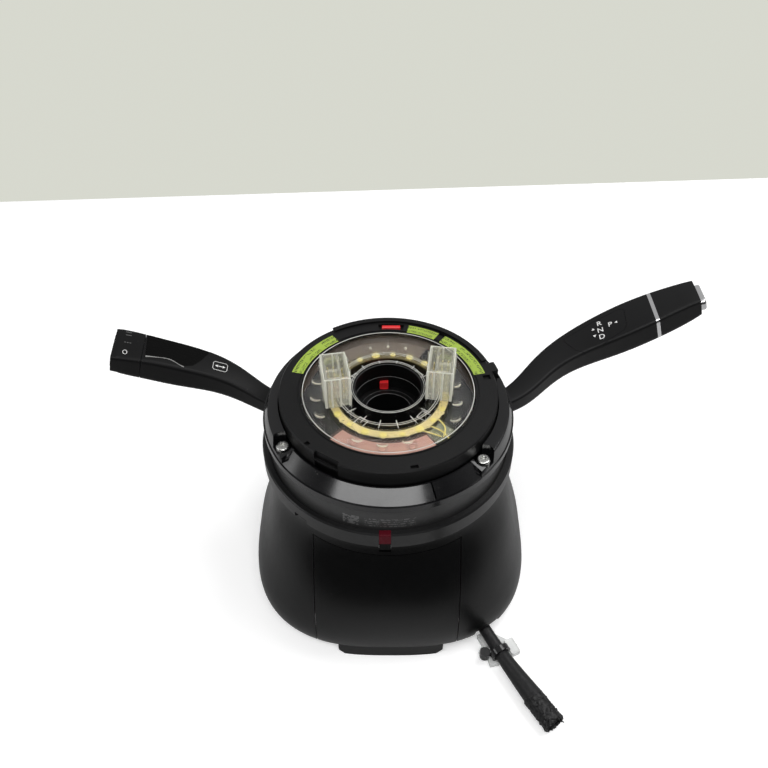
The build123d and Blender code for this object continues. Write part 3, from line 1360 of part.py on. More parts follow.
harness_radii = route_radii(HARNESS_ROUTE)
print("harness corner radii, mm:", [round(radius, 1) for radius in harness_radii])
with BuildPart() as harness_cable:
    with BuildLine() as harness_line:
        FilletPolyline(*HARNESS_ROUTE, radius=harness_radii)
    harness_wire = harness_line.wire()
    with BuildSketch(Plane(origin=harness_wire @ 0, z_dir=harness_wire % 0)) as cable_section:
        Circle(CABLE_R)
    sweep(cable_section.sketch, path=harness_wire)
print("harness length, mm:", round(harness_wire.length, 1))
finish(harness_cable, "harness_cable")

end_direction = harness_wire % 1
with BuildPart() as harness_end_wrap:
    wrap_plane = Plane(origin=harness_wire @ 1, z_dir=end_direction)
    with BuildSketch(wrap_plane) as wrap_start:
        Circle(CABLE_R + 0.5)
    with BuildSketch(wrap_plane.offset(WRAP_LENGTH * 0.4)) as wrap_middle:
        Circle(WRAP_R * 0.92)
    with BuildSketch(wrap_plane.offset(WRAP_LENGTH)) as wrap_end:
        Circle(WRAP_R)
    loft([wrap_start.sketch, wrap_middle.sketch, wrap_end.sketch])
finish(harness_end_wrap, "harness_end_wrap")

# Cable tie with its round head, and the clip plate that it holds.
with BuildPart() as harness_tie:
    run_start, run_end = Vector(*HARNESS_ROUTE[4]), Vector(*HARNESS_ROUTE[5])
    middle = (run_start + run_end) / 2
    loop_plane = Plane(origin=middle, z_dir=run_end - run_start)
    with BuildSketch(loop_plane) as loop:
        Circle(CABLE_R + TIE_GAP + TIE_T)
        Circle(CABLE_R + TIE_GAP, mode=Mode.SUBTRACT)
    extrude(loop.sketch, amount=TIE_WIDTH / 2, both=True)
    strap_length = middle.X - TIE_HEAD_AT[0] - CABLE_R - 1.4
    strap_x = TIE_HEAD_AT[0] + strap_length / 2
    block((strap_length, TIE_WIDTH), (strap_x, TIE_HEAD_AT[1]), middle.Z - 2.4, middle.Z - 2.4 + TIE_T)
    disc(TIE_HEAD_R, middle.Z - 4.4, middle.Z + 0.4, TIE_HEAD_AT)
finish(harness_tie, "harness_tie")

with BuildPart() as harness_clip:
    block(CLIP_SIZE[:2], CLIP_AT, FOOT_Z, FOOT_Z + CLIP_SIZE[2], CLIP_TURN)
    fillet(harness_clip.edges().filter_by(Axis.Z), 2.0)
finish(harness_clip, "harness_clip")

print("built", len(os.listdir("parts")), "pieces")
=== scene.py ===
"""Looks of a steering column switch module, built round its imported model.

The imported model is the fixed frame. Each sub-assembly is a class that gives its
own nodes their finish and models what only the eye needs: marks, labels, the
taped harness and the like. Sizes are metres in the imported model's own frame.
"""

from __future__ import annotations

import json
import logging
import math
from contextlib import contextmanager
from dataclasses import dataclass
from enum import Enum
from typing import Callable, Iterable, Iterator, Sequence

import bpy
from mathutils import Matrix, Vector

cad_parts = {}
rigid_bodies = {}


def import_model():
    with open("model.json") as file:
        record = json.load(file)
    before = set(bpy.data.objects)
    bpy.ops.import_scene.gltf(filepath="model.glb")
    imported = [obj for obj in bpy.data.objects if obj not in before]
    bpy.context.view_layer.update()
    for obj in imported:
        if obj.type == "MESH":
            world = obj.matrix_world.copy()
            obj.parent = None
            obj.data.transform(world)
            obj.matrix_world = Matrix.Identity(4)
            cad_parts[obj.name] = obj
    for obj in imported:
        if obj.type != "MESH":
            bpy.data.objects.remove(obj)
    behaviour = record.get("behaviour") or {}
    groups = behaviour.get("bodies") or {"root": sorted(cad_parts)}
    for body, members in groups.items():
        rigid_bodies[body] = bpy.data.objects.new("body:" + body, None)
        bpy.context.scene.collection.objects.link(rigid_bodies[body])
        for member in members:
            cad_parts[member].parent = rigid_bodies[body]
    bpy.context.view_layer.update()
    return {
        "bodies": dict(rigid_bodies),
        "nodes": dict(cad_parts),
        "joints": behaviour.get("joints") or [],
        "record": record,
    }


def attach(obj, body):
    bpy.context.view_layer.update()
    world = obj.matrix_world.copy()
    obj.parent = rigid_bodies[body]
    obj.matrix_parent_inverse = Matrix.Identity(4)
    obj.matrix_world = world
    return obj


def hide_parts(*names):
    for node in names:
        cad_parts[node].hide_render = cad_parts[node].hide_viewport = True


LOG = logging.getLogger("switch_module")
MM = 0.001

Colour = tuple[float, float, float]
Point = tuple[float, float, float]
Sizes = tuple[float, float, float]
Pair = tuple[float, float]

WHITE: Colour = (1.0, 1.0, 1.0)
DUST: Colour = (0.32, 0.31, 0.3)


# ------------------------------------------------------------- shader graphs
class Port:
    """One output of a shader graph, with arithmetic that adds Math nodes."""

    def __init__(self, graph: "Graph", socket: bpy.types.NodeSocket) -> None:
        """Wrap an output socket of a graph."""
        self.graph = graph
        self.socket = socket

    def _maths(self, operation: str, first: object, second: object) -> "Port":
        """Add one Math node and return its value."""
        return self.graph.node("ShaderNodeMath", {"operation": operation}, {0: first, 1: second})

    def __add__(self, other: object) -> "Port":
        """Return this value plus another."""
        return self._maths("ADD", self, other)

    __radd__ = __add__

    def __sub__(self, other: object) -> "Port":
        """Return this value less another."""
        return self._maths("SUBTRACT", self, other)

    def __rsub__(self, other: object) -> "Port":
        """Return another value less this one."""
        return self._maths("SUBTRACT", other, self)

    def __mul__(self, other: object) -> "Port":
        """Return this value times another."""
        return self._maths("MULTIPLY", self, other)

    __rmul__ = __mul__

    def __gt__(self, other: object) -> "Port":
        """Return 1 where this value is greater, else 0."""
        return self._maths("GREATER_THAN", self, other)

    def __lt__(self, other: object) -> "Port":
        """Return 1 where this value is smaller, else 0."""
        return self._maths("LESS_THAN", self, other)

    def lowest(self, other: object) -> "Port":
        """Return the smaller of two values."""
        return self._maths("MINIMUM", self, other)

    def part(self) -> "Port":
        """Return what is left of this value above its whole number."""
        return self._maths("FRACT", self, 0.0)

    def step(self, low: float, high: float) -> "Port":
        """Return a soft step from 0 to 1.

        Args:
            low: The value at which the step starts.
            high: The value at which the step is done.

        Returns:
            The stepped value.
        """
        settings = {"interpolation_type": "SMOOTHSTEP"}
        sockets = {"Value": self, "From Min": low, "From Max": high}
        return self.graph.node("ShaderNodeMapRange", settings, sockets)


class Graph:
    """The node tree of one material or world, emptied and ready to be wired."""

    def __init__(self, owner: bpy.types.Material | bpy.types.World) -> None:
        """Empty the owner's node tree.

        Args:
            owner: The material or world whose tree it is.
        """
        self.owner = owner
        owner.use_nodes = True
        self.tree = owner.node_tree
        self.tree.nodes.clear()

    @classmethod
    def material(cls, name: str) -> "Graph":
        """Return the graph of a new material."""
        return cls(bpy.data.materials.new(name))

    def node(
        self,
        kind: str,
        settings: dict[str, object] | None = None,
        sockets: dict[int | str, object] | None = None,
        output: int | str = 0,
    ) -> Port:
        """Add a node.

        Args:
            kind: The node's Blender type.
            settings: Attributes of the node, which are set first.
            sockets: Ports, numbers or colours for its inputs.
            output: The output to hand back.

        Returns:
            The chosen output.
        """
        made = self.tree.nodes.new(kind)
        for key, value in (settings or {}).items():
            setattr(made, key, value)
        for key, value in (sockets or {}).items():
            if isinstance(value, Port):
                self.tree.links.new(value.socket, made.inputs[key])
            else:
                made.inputs[key].default_value = (*value, 1.0) if isinstance(value, tuple) else value
        return Port(self, made.outputs[output])

    def place(self) -> Port:
        """Return the point on the object, in metres."""
        return self.node("ShaderNodeTexCoord", output="Object")

    def parts(self) -> tuple[Port, Port, Port]:
        """Return the x, y and z of the point on the object."""
        split = self.node("ShaderNodeSeparateXYZ", sockets={0: self.place()})
        return tuple(Port(self, output) for output in split.socket.node.outputs)

    def polar(self) -> tuple[Port, Port, Port]:
        """Find where the point on the object lies about the column axis.

        Returns:
            Its radius, its angle in degrees and its height.
        """
        across, along, height = self.parts()
        square = across * across + along * along
        radius = self.node("ShaderNodeMath", {"operation": "SQRT"}, {0: square})
        angle = self.node("ShaderNodeMath", {"operation": "ARCTAN2"}, {0: along, 1: across})
        return radius, angle * math.degrees(1.0), height

    def noise(self, size_mm: float, detail: float = 3.0, rough: float = 0.55) -> Port:
        """Return a noise value.

        Args:
            size_mm: The size of one blotch.
            detail: The number of finer octaves.
            rough: How strongly the octaves show.

        Returns:
            The noise, about 0 to 1.
        """
        sockets = {"Vector": self.place(), "Scale": 1.0 / (size_mm * MM)}
        sockets |= {"Detail": detail, "Roughness": rough}
        return self.node("ShaderNodeTexNoise", sockets=sockets)

    def cells(self, size_mm: float, output: str = "Distance") -> Port:
        """Return a cell pattern's distance or colour."""
        sockets = {"Vector": self.place(), "Scale": 1.0 / (size_mm * MM)}
        return self.node("ShaderNodeTexVoronoi", sockets=sockets, output=output)

    def blend(self, amount: object, first: object, second: object) -> Port:
        """Return a mix of two colours, the first at an amount of 0 and the second at 1."""
        return self.node("ShaderNodeMix", {"data_type": "RGBA"}, {0: amount, 6: first, 7: second}, 2)

    def bump(self, height: Port, depth_mm: float, strength: float = 1.0, under: Port | None = None) -> Port:
        """Return a normal bent by a height.

        Args:
            height: The height, about 0 to 1.
            depth_mm: How deep a height of 1 is.
            strength: How much of the bump shows.
            under: A bump that lies under this one.

        Returns:
            The bent normal.
        """
        sockets = {"Height": height, "Distance": depth_mm * MM, "Strength": strength}
        if under is not None:
            sockets["Normal"] = under
        return self.node("ShaderNodeBump", sockets=sockets)

    def surface(self, **sockets: object) -> Port:
        """Return a Principled shader; an underscore in a socket's name stands for a space."""
        values = {key.replace("_", " "): value for key, value in sockets.items()}
        return self.node("ShaderNodeBsdfPrincipled", sockets=values)

    def ray(self, kind: str) -> Port:
        """Return 1 for rays of a kind, such as "Camera", else 0."""
        return self.node("ShaderNodeLightPath", output=f"Is {kind} Ray")

    def close(self, shader: Port) -> bpy.types.Material | bpy.types.World:
        """Wire a shader to the output.

        Args:
            shader: The finished shader.

        Returns:
            The material or world.
        """
        is_world = isinstance(self.owner, bpy.types.World)
        out = self.tree.nodes.new("ShaderNodeOutputWorld" if is_world else "ShaderNodeOutputMaterial")
        self.tree.links.new(shader.socket, out.inputs["Surface"])
        return self.owner


# ------------------------------------------------------------------ finishes
def tone(colour: Colour, factor: float) -> Colour:
    """Return a colour made darker or brighter by a factor."""
    return tuple(min(1.0, factor * part) for part in colour)


@dataclass(frozen=True)
class Coat:
    """What every finish has.

    Attributes:
        name: The material's name.
        colour: The finish's main colour.
    """

    name: str
    colour: Colour

    def build(self) -> bpy.types.Material:
        """Return the material."""
        graph = Graph.material(self.name)
        return graph.close(self.shader(graph))

    def shader(self, graph: Graph) -> Port:
        """Return the finish's shader, which each kind of finish wires in its own way."""
        raise NotImplementedError


@dataclass(frozen=True)
class MouldedPlastic(Coat):
    """An opaque moulded plastic with a fine grain and a handled, uneven sheen.

    Attributes:
        roughness: The mean roughness.
        grain_mm: The size of one grain of the mould's texture.
        grain_depth_mm: The depth of that texture.
        sheen_spread: How far the roughness wanders.
        specular: The shader's specular level.
        dust: How much pale dust shows.
    """

    roughness: float
    grain_mm: float = 0.35
    grain_depth_mm: float = 0.02
    sheen_spread: float = 0.08
    specular: float = 0.4
    dust: float = 0.1

    def mark(self, graph: Graph, pigment: Port) -> Port:
        """Return the pigment with what is printed on it; nothing, on most pieces."""
        return pigment

    def shader(self, graph: Graph) -> Port:
        """Wire the plastic.

        Args:
            graph: The material's graph.

        Returns:
            The shader.
        """
        broad = graph.noise(24.0, 4.0)
        smears = graph.noise(6.0, 5.0, 0.65)
        lint = graph.noise(0.9, 2.0, 0.5).step(0.68, 0.8)
        specks = lint * graph.noise(11.0, 2.0).step(0.5, 0.66) * self.dust
        pigment = graph.blend(broad, tone(self.colour, 0.82), tone(self.colour, 1.22))
        grain = graph.cells(self.grain_mm) * 0.6 + graph.noise(self.grain_mm * 0.6, 2.0) * 0.4
        return graph.surface(
            Base_Color=graph.blend(specks, self.mark(graph, pigment), DUST),
            Roughness=self.roughness + (smears - 0.5) * (2 * self.sheen_spread) + specks * 0.3,
            Specular_IOR_Level=self.specular,
            Normal=graph.bump(grain, self.grain_depth_mm),
        )


@dataclass(frozen=True)
class PrintedBand(MouldedPlastic):
    """A moulded band that carries a faint block of squares and rows of plain ticks.

    Attributes:
        ink: The colour of the print.
        squares: Where the block of squares starts and ends, in degrees.
        ticks: Where the rows of ticks start and end, in degrees.
        row_count: How many rows there are.
        levels: The lowest and highest level of the print, in metres.
    """

    ink: Colour = (0.12, 0.12, 0.12)
    squares: Pair = (-110.5, -103.0)
    ticks: Pair = (-100.5, -78.0)
    row_count: float = 4.0
    levels: Pair = (-33.5 * MM, -26.5 * MM)

    def mark(self, graph: Graph, pigment: Port) -> Port:
        """Print on the band.

        Args:
            graph: The material's graph.
            pigment: The band's plain colour.

        Returns:
            The colour with the print on it.
        """
        _, angle, height = graph.polar()
        low, high = self.levels
        inside = (height > low) * (height < high)
        row = (height - low) * (self.row_count / (high - low))
        line = (row.part() > 0.32) * (row.part() < 0.8)
        tick = graph.noise(0.95, 1.0, 0.4) > 0.5
        in_rows = (angle > self.ticks[0]) * (angle < self.ticks[1])
        in_block = (angle > self.squares[0]) * (angle < self.squares[1])
        cell = graph.cells(0.95, output="Color") > 0.5
        printed = inside * (in_rows * line * tick + in_block * cell)
        return graph.blend(printed.lowest(1.0) * 0.8, pigment, self.ink)


@dataclass(frozen=True)
class LabelFilm(MouldedPlastic):
    """A bright film label with two rows of plain ticks that follow its arc.

    Attributes:
        ink: The colour of the ticks.
        inner_mm: The radius of the label's inner edge.
        width_mm: The label's width.
    """

    ink: Colour = (0.03, 0.04, 0.012)
    inner_mm: float = 47.7
    width_mm: float = 6.3

    def mark(self, graph: Graph, pigment: Port) -> Port:
        """Print on the label.

        Args:
            graph: The material's graph.
            pigment: The film's plain colour.

        Returns:
            The colour with the ticks on it.
        """
        radius, angle, _ = graph.polar()
        across = (radius * (1.0 / MM) - self.inner_mm) * (2.0 / self.width_mm)
        line = (across.part() > 0.2) * (across.part() < 0.76)
        tick = (angle * 0.78).part() > 0.36
        broken = graph.noise(0.75, 1.5, 0.5) > 0.47
        gap = graph.noise(6.0, 1.0, 0.3) > 0.4
        return graph.blend(line * tick * broken * gap, pigment, self.ink)


@dataclass(frozen=True)
class TwoTone(MouldedPlastic):
    """A moulded plastic whose colour ends at a level.

    Attributes:
        lower: The colour below the level.
        level: The level.
    """

    lower: Colour = (0.002, 0.002, 0.002)
    level: float = -41.5 * MM

    def mark(self, graph: Graph, pigment: Port) -> Port:
        """Return the pigment above the level and the lower colour below it."""
        return graph.blend(graph.parts()[2] > self.level, self.lower, pigment)


@dataclass(frozen=True)
class RibbonPaintedLight(MouldedPlastic):
    """A wound ribbon with painted light: a painted highlight on the laps' top edges that fades towards the
    back, and painted shade on its faces and between the laps.

    Attributes:
        face: The colour of the painted shade on the ribbon's faces and between the laps.
        top: The level above which the painted highlight on the edges shows.
        front: How far back the painted highlight is full, and where it has faded.
    """

    face: Colour = (0.02, 0.016, 0.008)
    top: float = -3.6 * MM
    front: Pair = (4.0 * MM, 20.0 * MM)

    def mark(self, graph: Graph, pigment: Port) -> Port:
        """Paint the laps' highlight and shade.

        Args:
            graph: The material's graph.
            pigment: The edges' colour, used for the painted highlight.

        Returns:
            The painted highlight on the top edges, and the painted shade elsewhere.
        """
        _, along, height = graph.parts()
        laps = graph.noise(1.1, 2.0, 0.6).step(0.3, 0.42)
        # Painted highlight on the top edges, fading towards the back; painted shade in the gaps between
        # laps and below the top.
        painted_light = (height > self.top) * (1.0 - along.step(*self.front) * 0.8) * laps
        return graph.blend(painted_light, self.face, pigment)


@dataclass(frozen=True)
class ClearPlastic(Coat):
    """A see-through moulding with faint flow lines.

    Attributes:
        roughness: The roughness of the surface.
        body: How much of the surface is solid rather than open to light.
        haze: How milky the plastic is.
        ripple_mm: The depth of the flow lines.
        bend: The plastic's index of refraction.
    """

    roughness: float
    body: float
    haze: float = 0.0
    ripple_mm: float = 0.02
    bend: float = 1.49

    def shader(self, graph: Graph) -> Port:
        """Wire the plastic.

        Args:
            graph: The material's graph.

        Returns:
            The shader.
        """
        flow = graph.noise(9.0, 3.0, 0.6)
        scratches = graph.noise(1.4, 4.0, 0.7).step(0.6, 0.9)
        return graph.surface(
            Base_Color=graph.blend(flow, self.colour, tone(self.colour, 1.06)),
            Roughness=self.roughness + scratches * 0.02,
            Transmission_Weight=1.0 - self.haze,
            IOR=self.bend,
            Alpha=self.body + (flow - 0.5) * 0.06,
            Normal=graph.bump(flow, self.ripple_mm, 0.4),
        )


@dataclass(frozen=True)
class WorkedMetal(Coat):
    """A metal with a plated, brushed, cast or foil surface.

    Attributes:
        roughness: The mean roughness.
        streak_mm: The size of the surface's marks.
        depth_mm: The depth of those marks.
        tarnish: A second colour that shows in patches.
        patches: How much of it shows.
        metal: How metallic the surface looks.
    """

    roughness: float
    streak_mm: float = 0.6
    depth_mm: float = 0.01
    tarnish: Colour = (0.2, 0.18, 0.16)
    patches: float = 0.2
    metal: float = 1.0

    def shader(self, graph: Graph) -> Port:
        """Wire the metal.

        Args:
            graph: The material's graph.

        Returns:
            The shader.
        """
        cloud = graph.noise(7.0, 4.0, 0.6)
        marks = graph.noise(self.streak_mm, 3.0, 0.7)
        return graph.surface(
            Base_Color=graph.blend(cloud.step(0.45, 0.8) * self.patches, self.colour, self.tarnish),
            Metallic=self.metal,
            Roughness=self.roughness + (marks - 0.5) * 0.15,
            Normal=graph.bump(marks, self.depth_mm),
        )


@dataclass(frozen=True)
class TapeWrap(Coat):
    """Adhesive cloth tape, wrinkled where it is wound.

    Attributes:
        roughness: The mean roughness.
        wrinkle_mm: The depth of the wrinkles.
        weave_mm: The depth of the cloth's weave.
    """

    roughness: float = 0.42
    wrinkle_mm: float = 0.35
    weave_mm: float = 0.04

    def shader(self, graph: Graph) -> Port:
        """Wire the tape.

        Args:
            graph: The material's graph.

        Returns:
            The shader.
        """
        wrinkle = graph.noise(1.7, 4.0, 0.65)
        wrinkled = graph.bump(wrinkle, self.wrinkle_mm, 0.7)
        return graph.surface(
            Base_Color=graph.blend(graph.noise(7.0), tone(self.colour, 0.6), tone(self.colour, 1.7)),
            Roughness=self.roughness + (wrinkle - 0.5) * 0.4,
            Specular_IOR_Level=0.3,
            Normal=graph.bump(graph.cells(0.3), self.weave_mm, 0.6, under=wrinkled),
        )


@dataclass(frozen=True)
class PrintedInk(Coat):
    """Opaque ink, a little patchy where it is worn.

    Attributes:
        roughness: The ink's roughness.
    """

    roughness: float

    def shader(self, graph: Graph) -> Port:
        """Wire the ink.

        Args:
            graph: The material's graph.

        Returns:
            The shader.
        """
        patchy = graph.noise(1.2, 3.0, 0.6)
        return graph.surface(
            Base_Color=graph.blend(patchy, tone(self.colour, 0.8), self.colour),
            Roughness=self.roughness + (patchy - 0.5) * 0.12,
            Normal=graph.bump(patchy, 0.01),
        )


class Finish(Enum):
    """The finishes of the switch module's pieces."""

    SHROUD = MouldedPlastic("shroud_grain", (0.0022, 0.0022, 0.0023), 0.32, 0.5, 0.015, 0.06, 0.26, 0.06)
    HOUSING = PrintedBand("housing_satin", (0.03, 0.03, 0.0302), 0.34, 0.3, 0.01, 0.06, 0.35, 0.1)
    TRIM = MouldedPlastic("trim_satin", (0.007, 0.007, 0.0073), 0.32, 0.3, 0.012, 0.06, 0.35, 0.1)
    PLATE = MouldedPlastic("plate_satin", (0.005, 0.005, 0.0052), 0.42, 0.28, 0.016, 0.06, 0.22, 0.3)
    COVER = MouldedPlastic("cover_polish", (0.004, 0.004, 0.0045), 0.15, 0.6, 0.003, 0.05, 0.5, 0.2)
    STALK = MouldedPlastic(
        "stalk_soft_touch", (0.0045, 0.0045, 0.0047), 0.46, 0.24, 0.014, 0.05, 0.14, 0.08
    )
    SELECTOR = MouldedPlastic(
        "selector_soft_touch", (0.006, 0.006, 0.0063), 0.44, 0.24, 0.014, 0.05, 0.18, 0.08
    )
    GLOSS_LINER = MouldedPlastic("liner_gloss", (0.0012, 0.0012, 0.0012), 0.3, 1.4, 0.15, 0.03, 0.08, 0.0)
    SWITCH = MouldedPlastic("switch_satin", (0.006, 0.006, 0.006), 0.36, 0.25, 0.01, 0.05, 0.25)
    INNER_BLACK = MouldedPlastic("inner_black", (0.003, 0.003, 0.003), 0.4, 0.4, 0.01, 0.05, 0.2, 0.0)
    GEAR = MouldedPlastic("gear_acetal", (0.62, 0.6, 0.54), 0.4)
    CHIP = MouldedPlastic("chip_epoxy", (0.02, 0.02, 0.02), 0.5)
    BOARD = MouldedPlastic("board_lacquer", (0.02, 0.13, 0.06), 0.3)
    CARRIER = MouldedPlastic("carrier_black", (0.006, 0.006, 0.006), 0.45, 0.3, 0.01, 0.05, 0.25, 0.0)
    # Cream for the painted glints: the arcs on the rollers' front rims and the tops of the rear pins.
    FINGER = MouldedPlastic("finger_cream", (0.78, 0.74, 0.58), 0.35, 0.4, 0.01, 0.05, 0.4, 0.0)
    # The inner coil carries painted light: a highlight on its top edges at the front, and shade below and
    # between the laps.
    COIL = RibbonPaintedLight("ribbon_coil_yellow", (0.74, 0.61, 0.27), 0.38, 0.5, 0.01, 0.08, 0.4, 0.0)
    RIBBON = MouldedPlastic("ribbon_yellow", (0.84, 0.7, 0.3), 0.38, 0.5, 0.01, 0.08, 0.4, 0.0)
    PATCH = MouldedPlastic("ribbon_pale_film", (0.24, 0.25, 0.17), 0.3, 0.5, 0.01, 0.08, 0.4, 0.0)
    # Pale and faint grey for the painted highlights along the clear rotor's edges and down its bore.
    LINE = MouldedPlastic("highlight_line", (0.68, 0.68, 0.64), 0.2, 0.5, 0.002, 0.05, 0.5, 0.0)
    FAINT_LINE = MouldedPlastic("faint_highlight_line", (0.1, 0.1, 0.1), 0.2, 0.5, 0.002, 0.05, 0.5, 0.0)
    OUTER_RIBBON = MouldedPlastic("ribbon_brown", (0.16, 0.11, 0.07), 0.4, 0.5, 0.01)
    RED = MouldedPlastic("key_red", (0.7, 0.02, 0.025), 0.38, 0.4, 0.01, 0.05, 0.45, 0.0)
    TAB = TwoTone("tab_dark_red", (0.07, 0.003, 0.008), 0.5, 0.4, 0.01, 0.05, 0.1, 0.0)
    RUBBER = MouldedPlastic("gland_rubber", (0.02, 0.02, 0.02), 0.6, 0.4, 0.03)
    LABEL = LabelFilm("label_lime", (0.31, 0.43, 0.06), 0.42, 0.5, 0.004, 0.05, 0.4, 0.0)
    CLEAR = ClearPlastic("clear_rotor_plastic", (0.97, 0.98, 0.95), 0.008, 0.12)
    ROLLER = ClearPlastic("roller_clear", (0.9, 0.9, 0.86), 0.02, 0.12)
    TOWER = ClearPlastic("tower_plastic", (0.98, 0.98, 0.84), 0.02, 0.45, 0.4, 0.05)
    # A paler, milkier copy of the tower's plastic: painted highlights on the real ribs and lip.
    TOWER_RIB = ClearPlastic("tower_rib_plastic", (0.98, 0.98, 0.88), 0.03, 0.66, 0.7, 0.03)
    CLIP = ClearPlastic("clip_plastic", (0.9, 0.91, 0.9), 0.2, 0.9, 0.8)
    FRONT_FOIL = WorkedMetal("foil_copper", (1.0, 0.62, 0.41), 0.5, 2.0, 0.02, (0.9, 0.54, 0.36), 0.6, 0.0)
    REAR_FOIL = WorkedMetal("foil_bronze", (0.25, 0.23, 0.16), 0.5, 2.0, 0.02, (0.19, 0.17, 0.12), 0.6, 0.0)
    SCREW = WorkedMetal("screw_zinc", (0.6, 0.6, 0.58), 0.26, 0.5, 0.02)
    CHROME = WorkedMetal("trim_chrome", (0.74, 0.74, 0.75), 0.24, 0.3, 0.004, (0.6, 0.6, 0.6), 0.1)
    CONTACT = WorkedMetal("contact_tin", (0.8, 0.72, 0.45), 0.3)
    CASTING = WorkedMetal("clamp_casting", (0.48, 0.48, 0.48), 0.5, 0.8, 0.05)
    TAPE = TapeWrap("harness_tape", (0.006, 0.006, 0.0064))
    WHITE_INK = PrintedInk("mark_white", (0.8, 0.8, 0.79), 0.45)
    GREY_INK = PrintedInk("mark_grey", (0.12, 0.12, 0.12), 0.5)
    # Pale grey for the painted highlight along the turn stalk's pocket edge.
    BURR = PrintedInk("edge_glint_grey", (0.3, 0.3, 0.29), 0.35)

    def material(self) -> bpy.types.Material:
        """Return the finish's material, made on its first use."""
        found = bpy.data.materials.get(self.value.name)
        return found or self.value.build()


def dress(frame: dict, nodes: Iterable[str], finish: Finish) -> None:
    """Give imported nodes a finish.

    Args:
        frame: The loaded frame.
        nodes: The nodes' names.
        finish: The finish for all of them.
    """
    for name in nodes:
        node = frame["nodes"][name]
        if not node.material_slots:
            node.data.materials.append(None)
        for material_slot in node.material_slots:
            material_slot.material = finish.material()
        LOG.info("node %s: %s", name, finish.name.lower())


# --------------------------------------------------------------------- bench
def placed(name: str, data: bpy.types.ID) -> bpy.types.Object:
    """Put an object into the scene.

    Args:
        name: The object's name.
        data: Its mesh, curve, lamp or camera.

    Returns:
        The object.
    """
    made = bpy.data.objects.new(name, data)
    bpy.context.scene.collection.objects.link(made)
    return made


def stand(place: Sequence[float], turn: float) -> Matrix:
    """Return the move to a place, after a turn in degrees about the upright axis."""
    return Matrix.Translation(place) @ Matrix.Rotation(math.radians(turn), 4, "Z")


def polar(radius: float, angle: float, level: float) -> Vector:
    """Return the point at a radius and an angle in degrees about the column axis."""
    turn = math.radians(angle)
    return Vector((radius * math.cos(turn), radius * math.sin(turn), level))


def around(radius: float, angle: float, level: float) -> Matrix:
    """Return the move to that point, turned to face away from the column axis."""
    return stand(polar(radius, angle, level), angle)


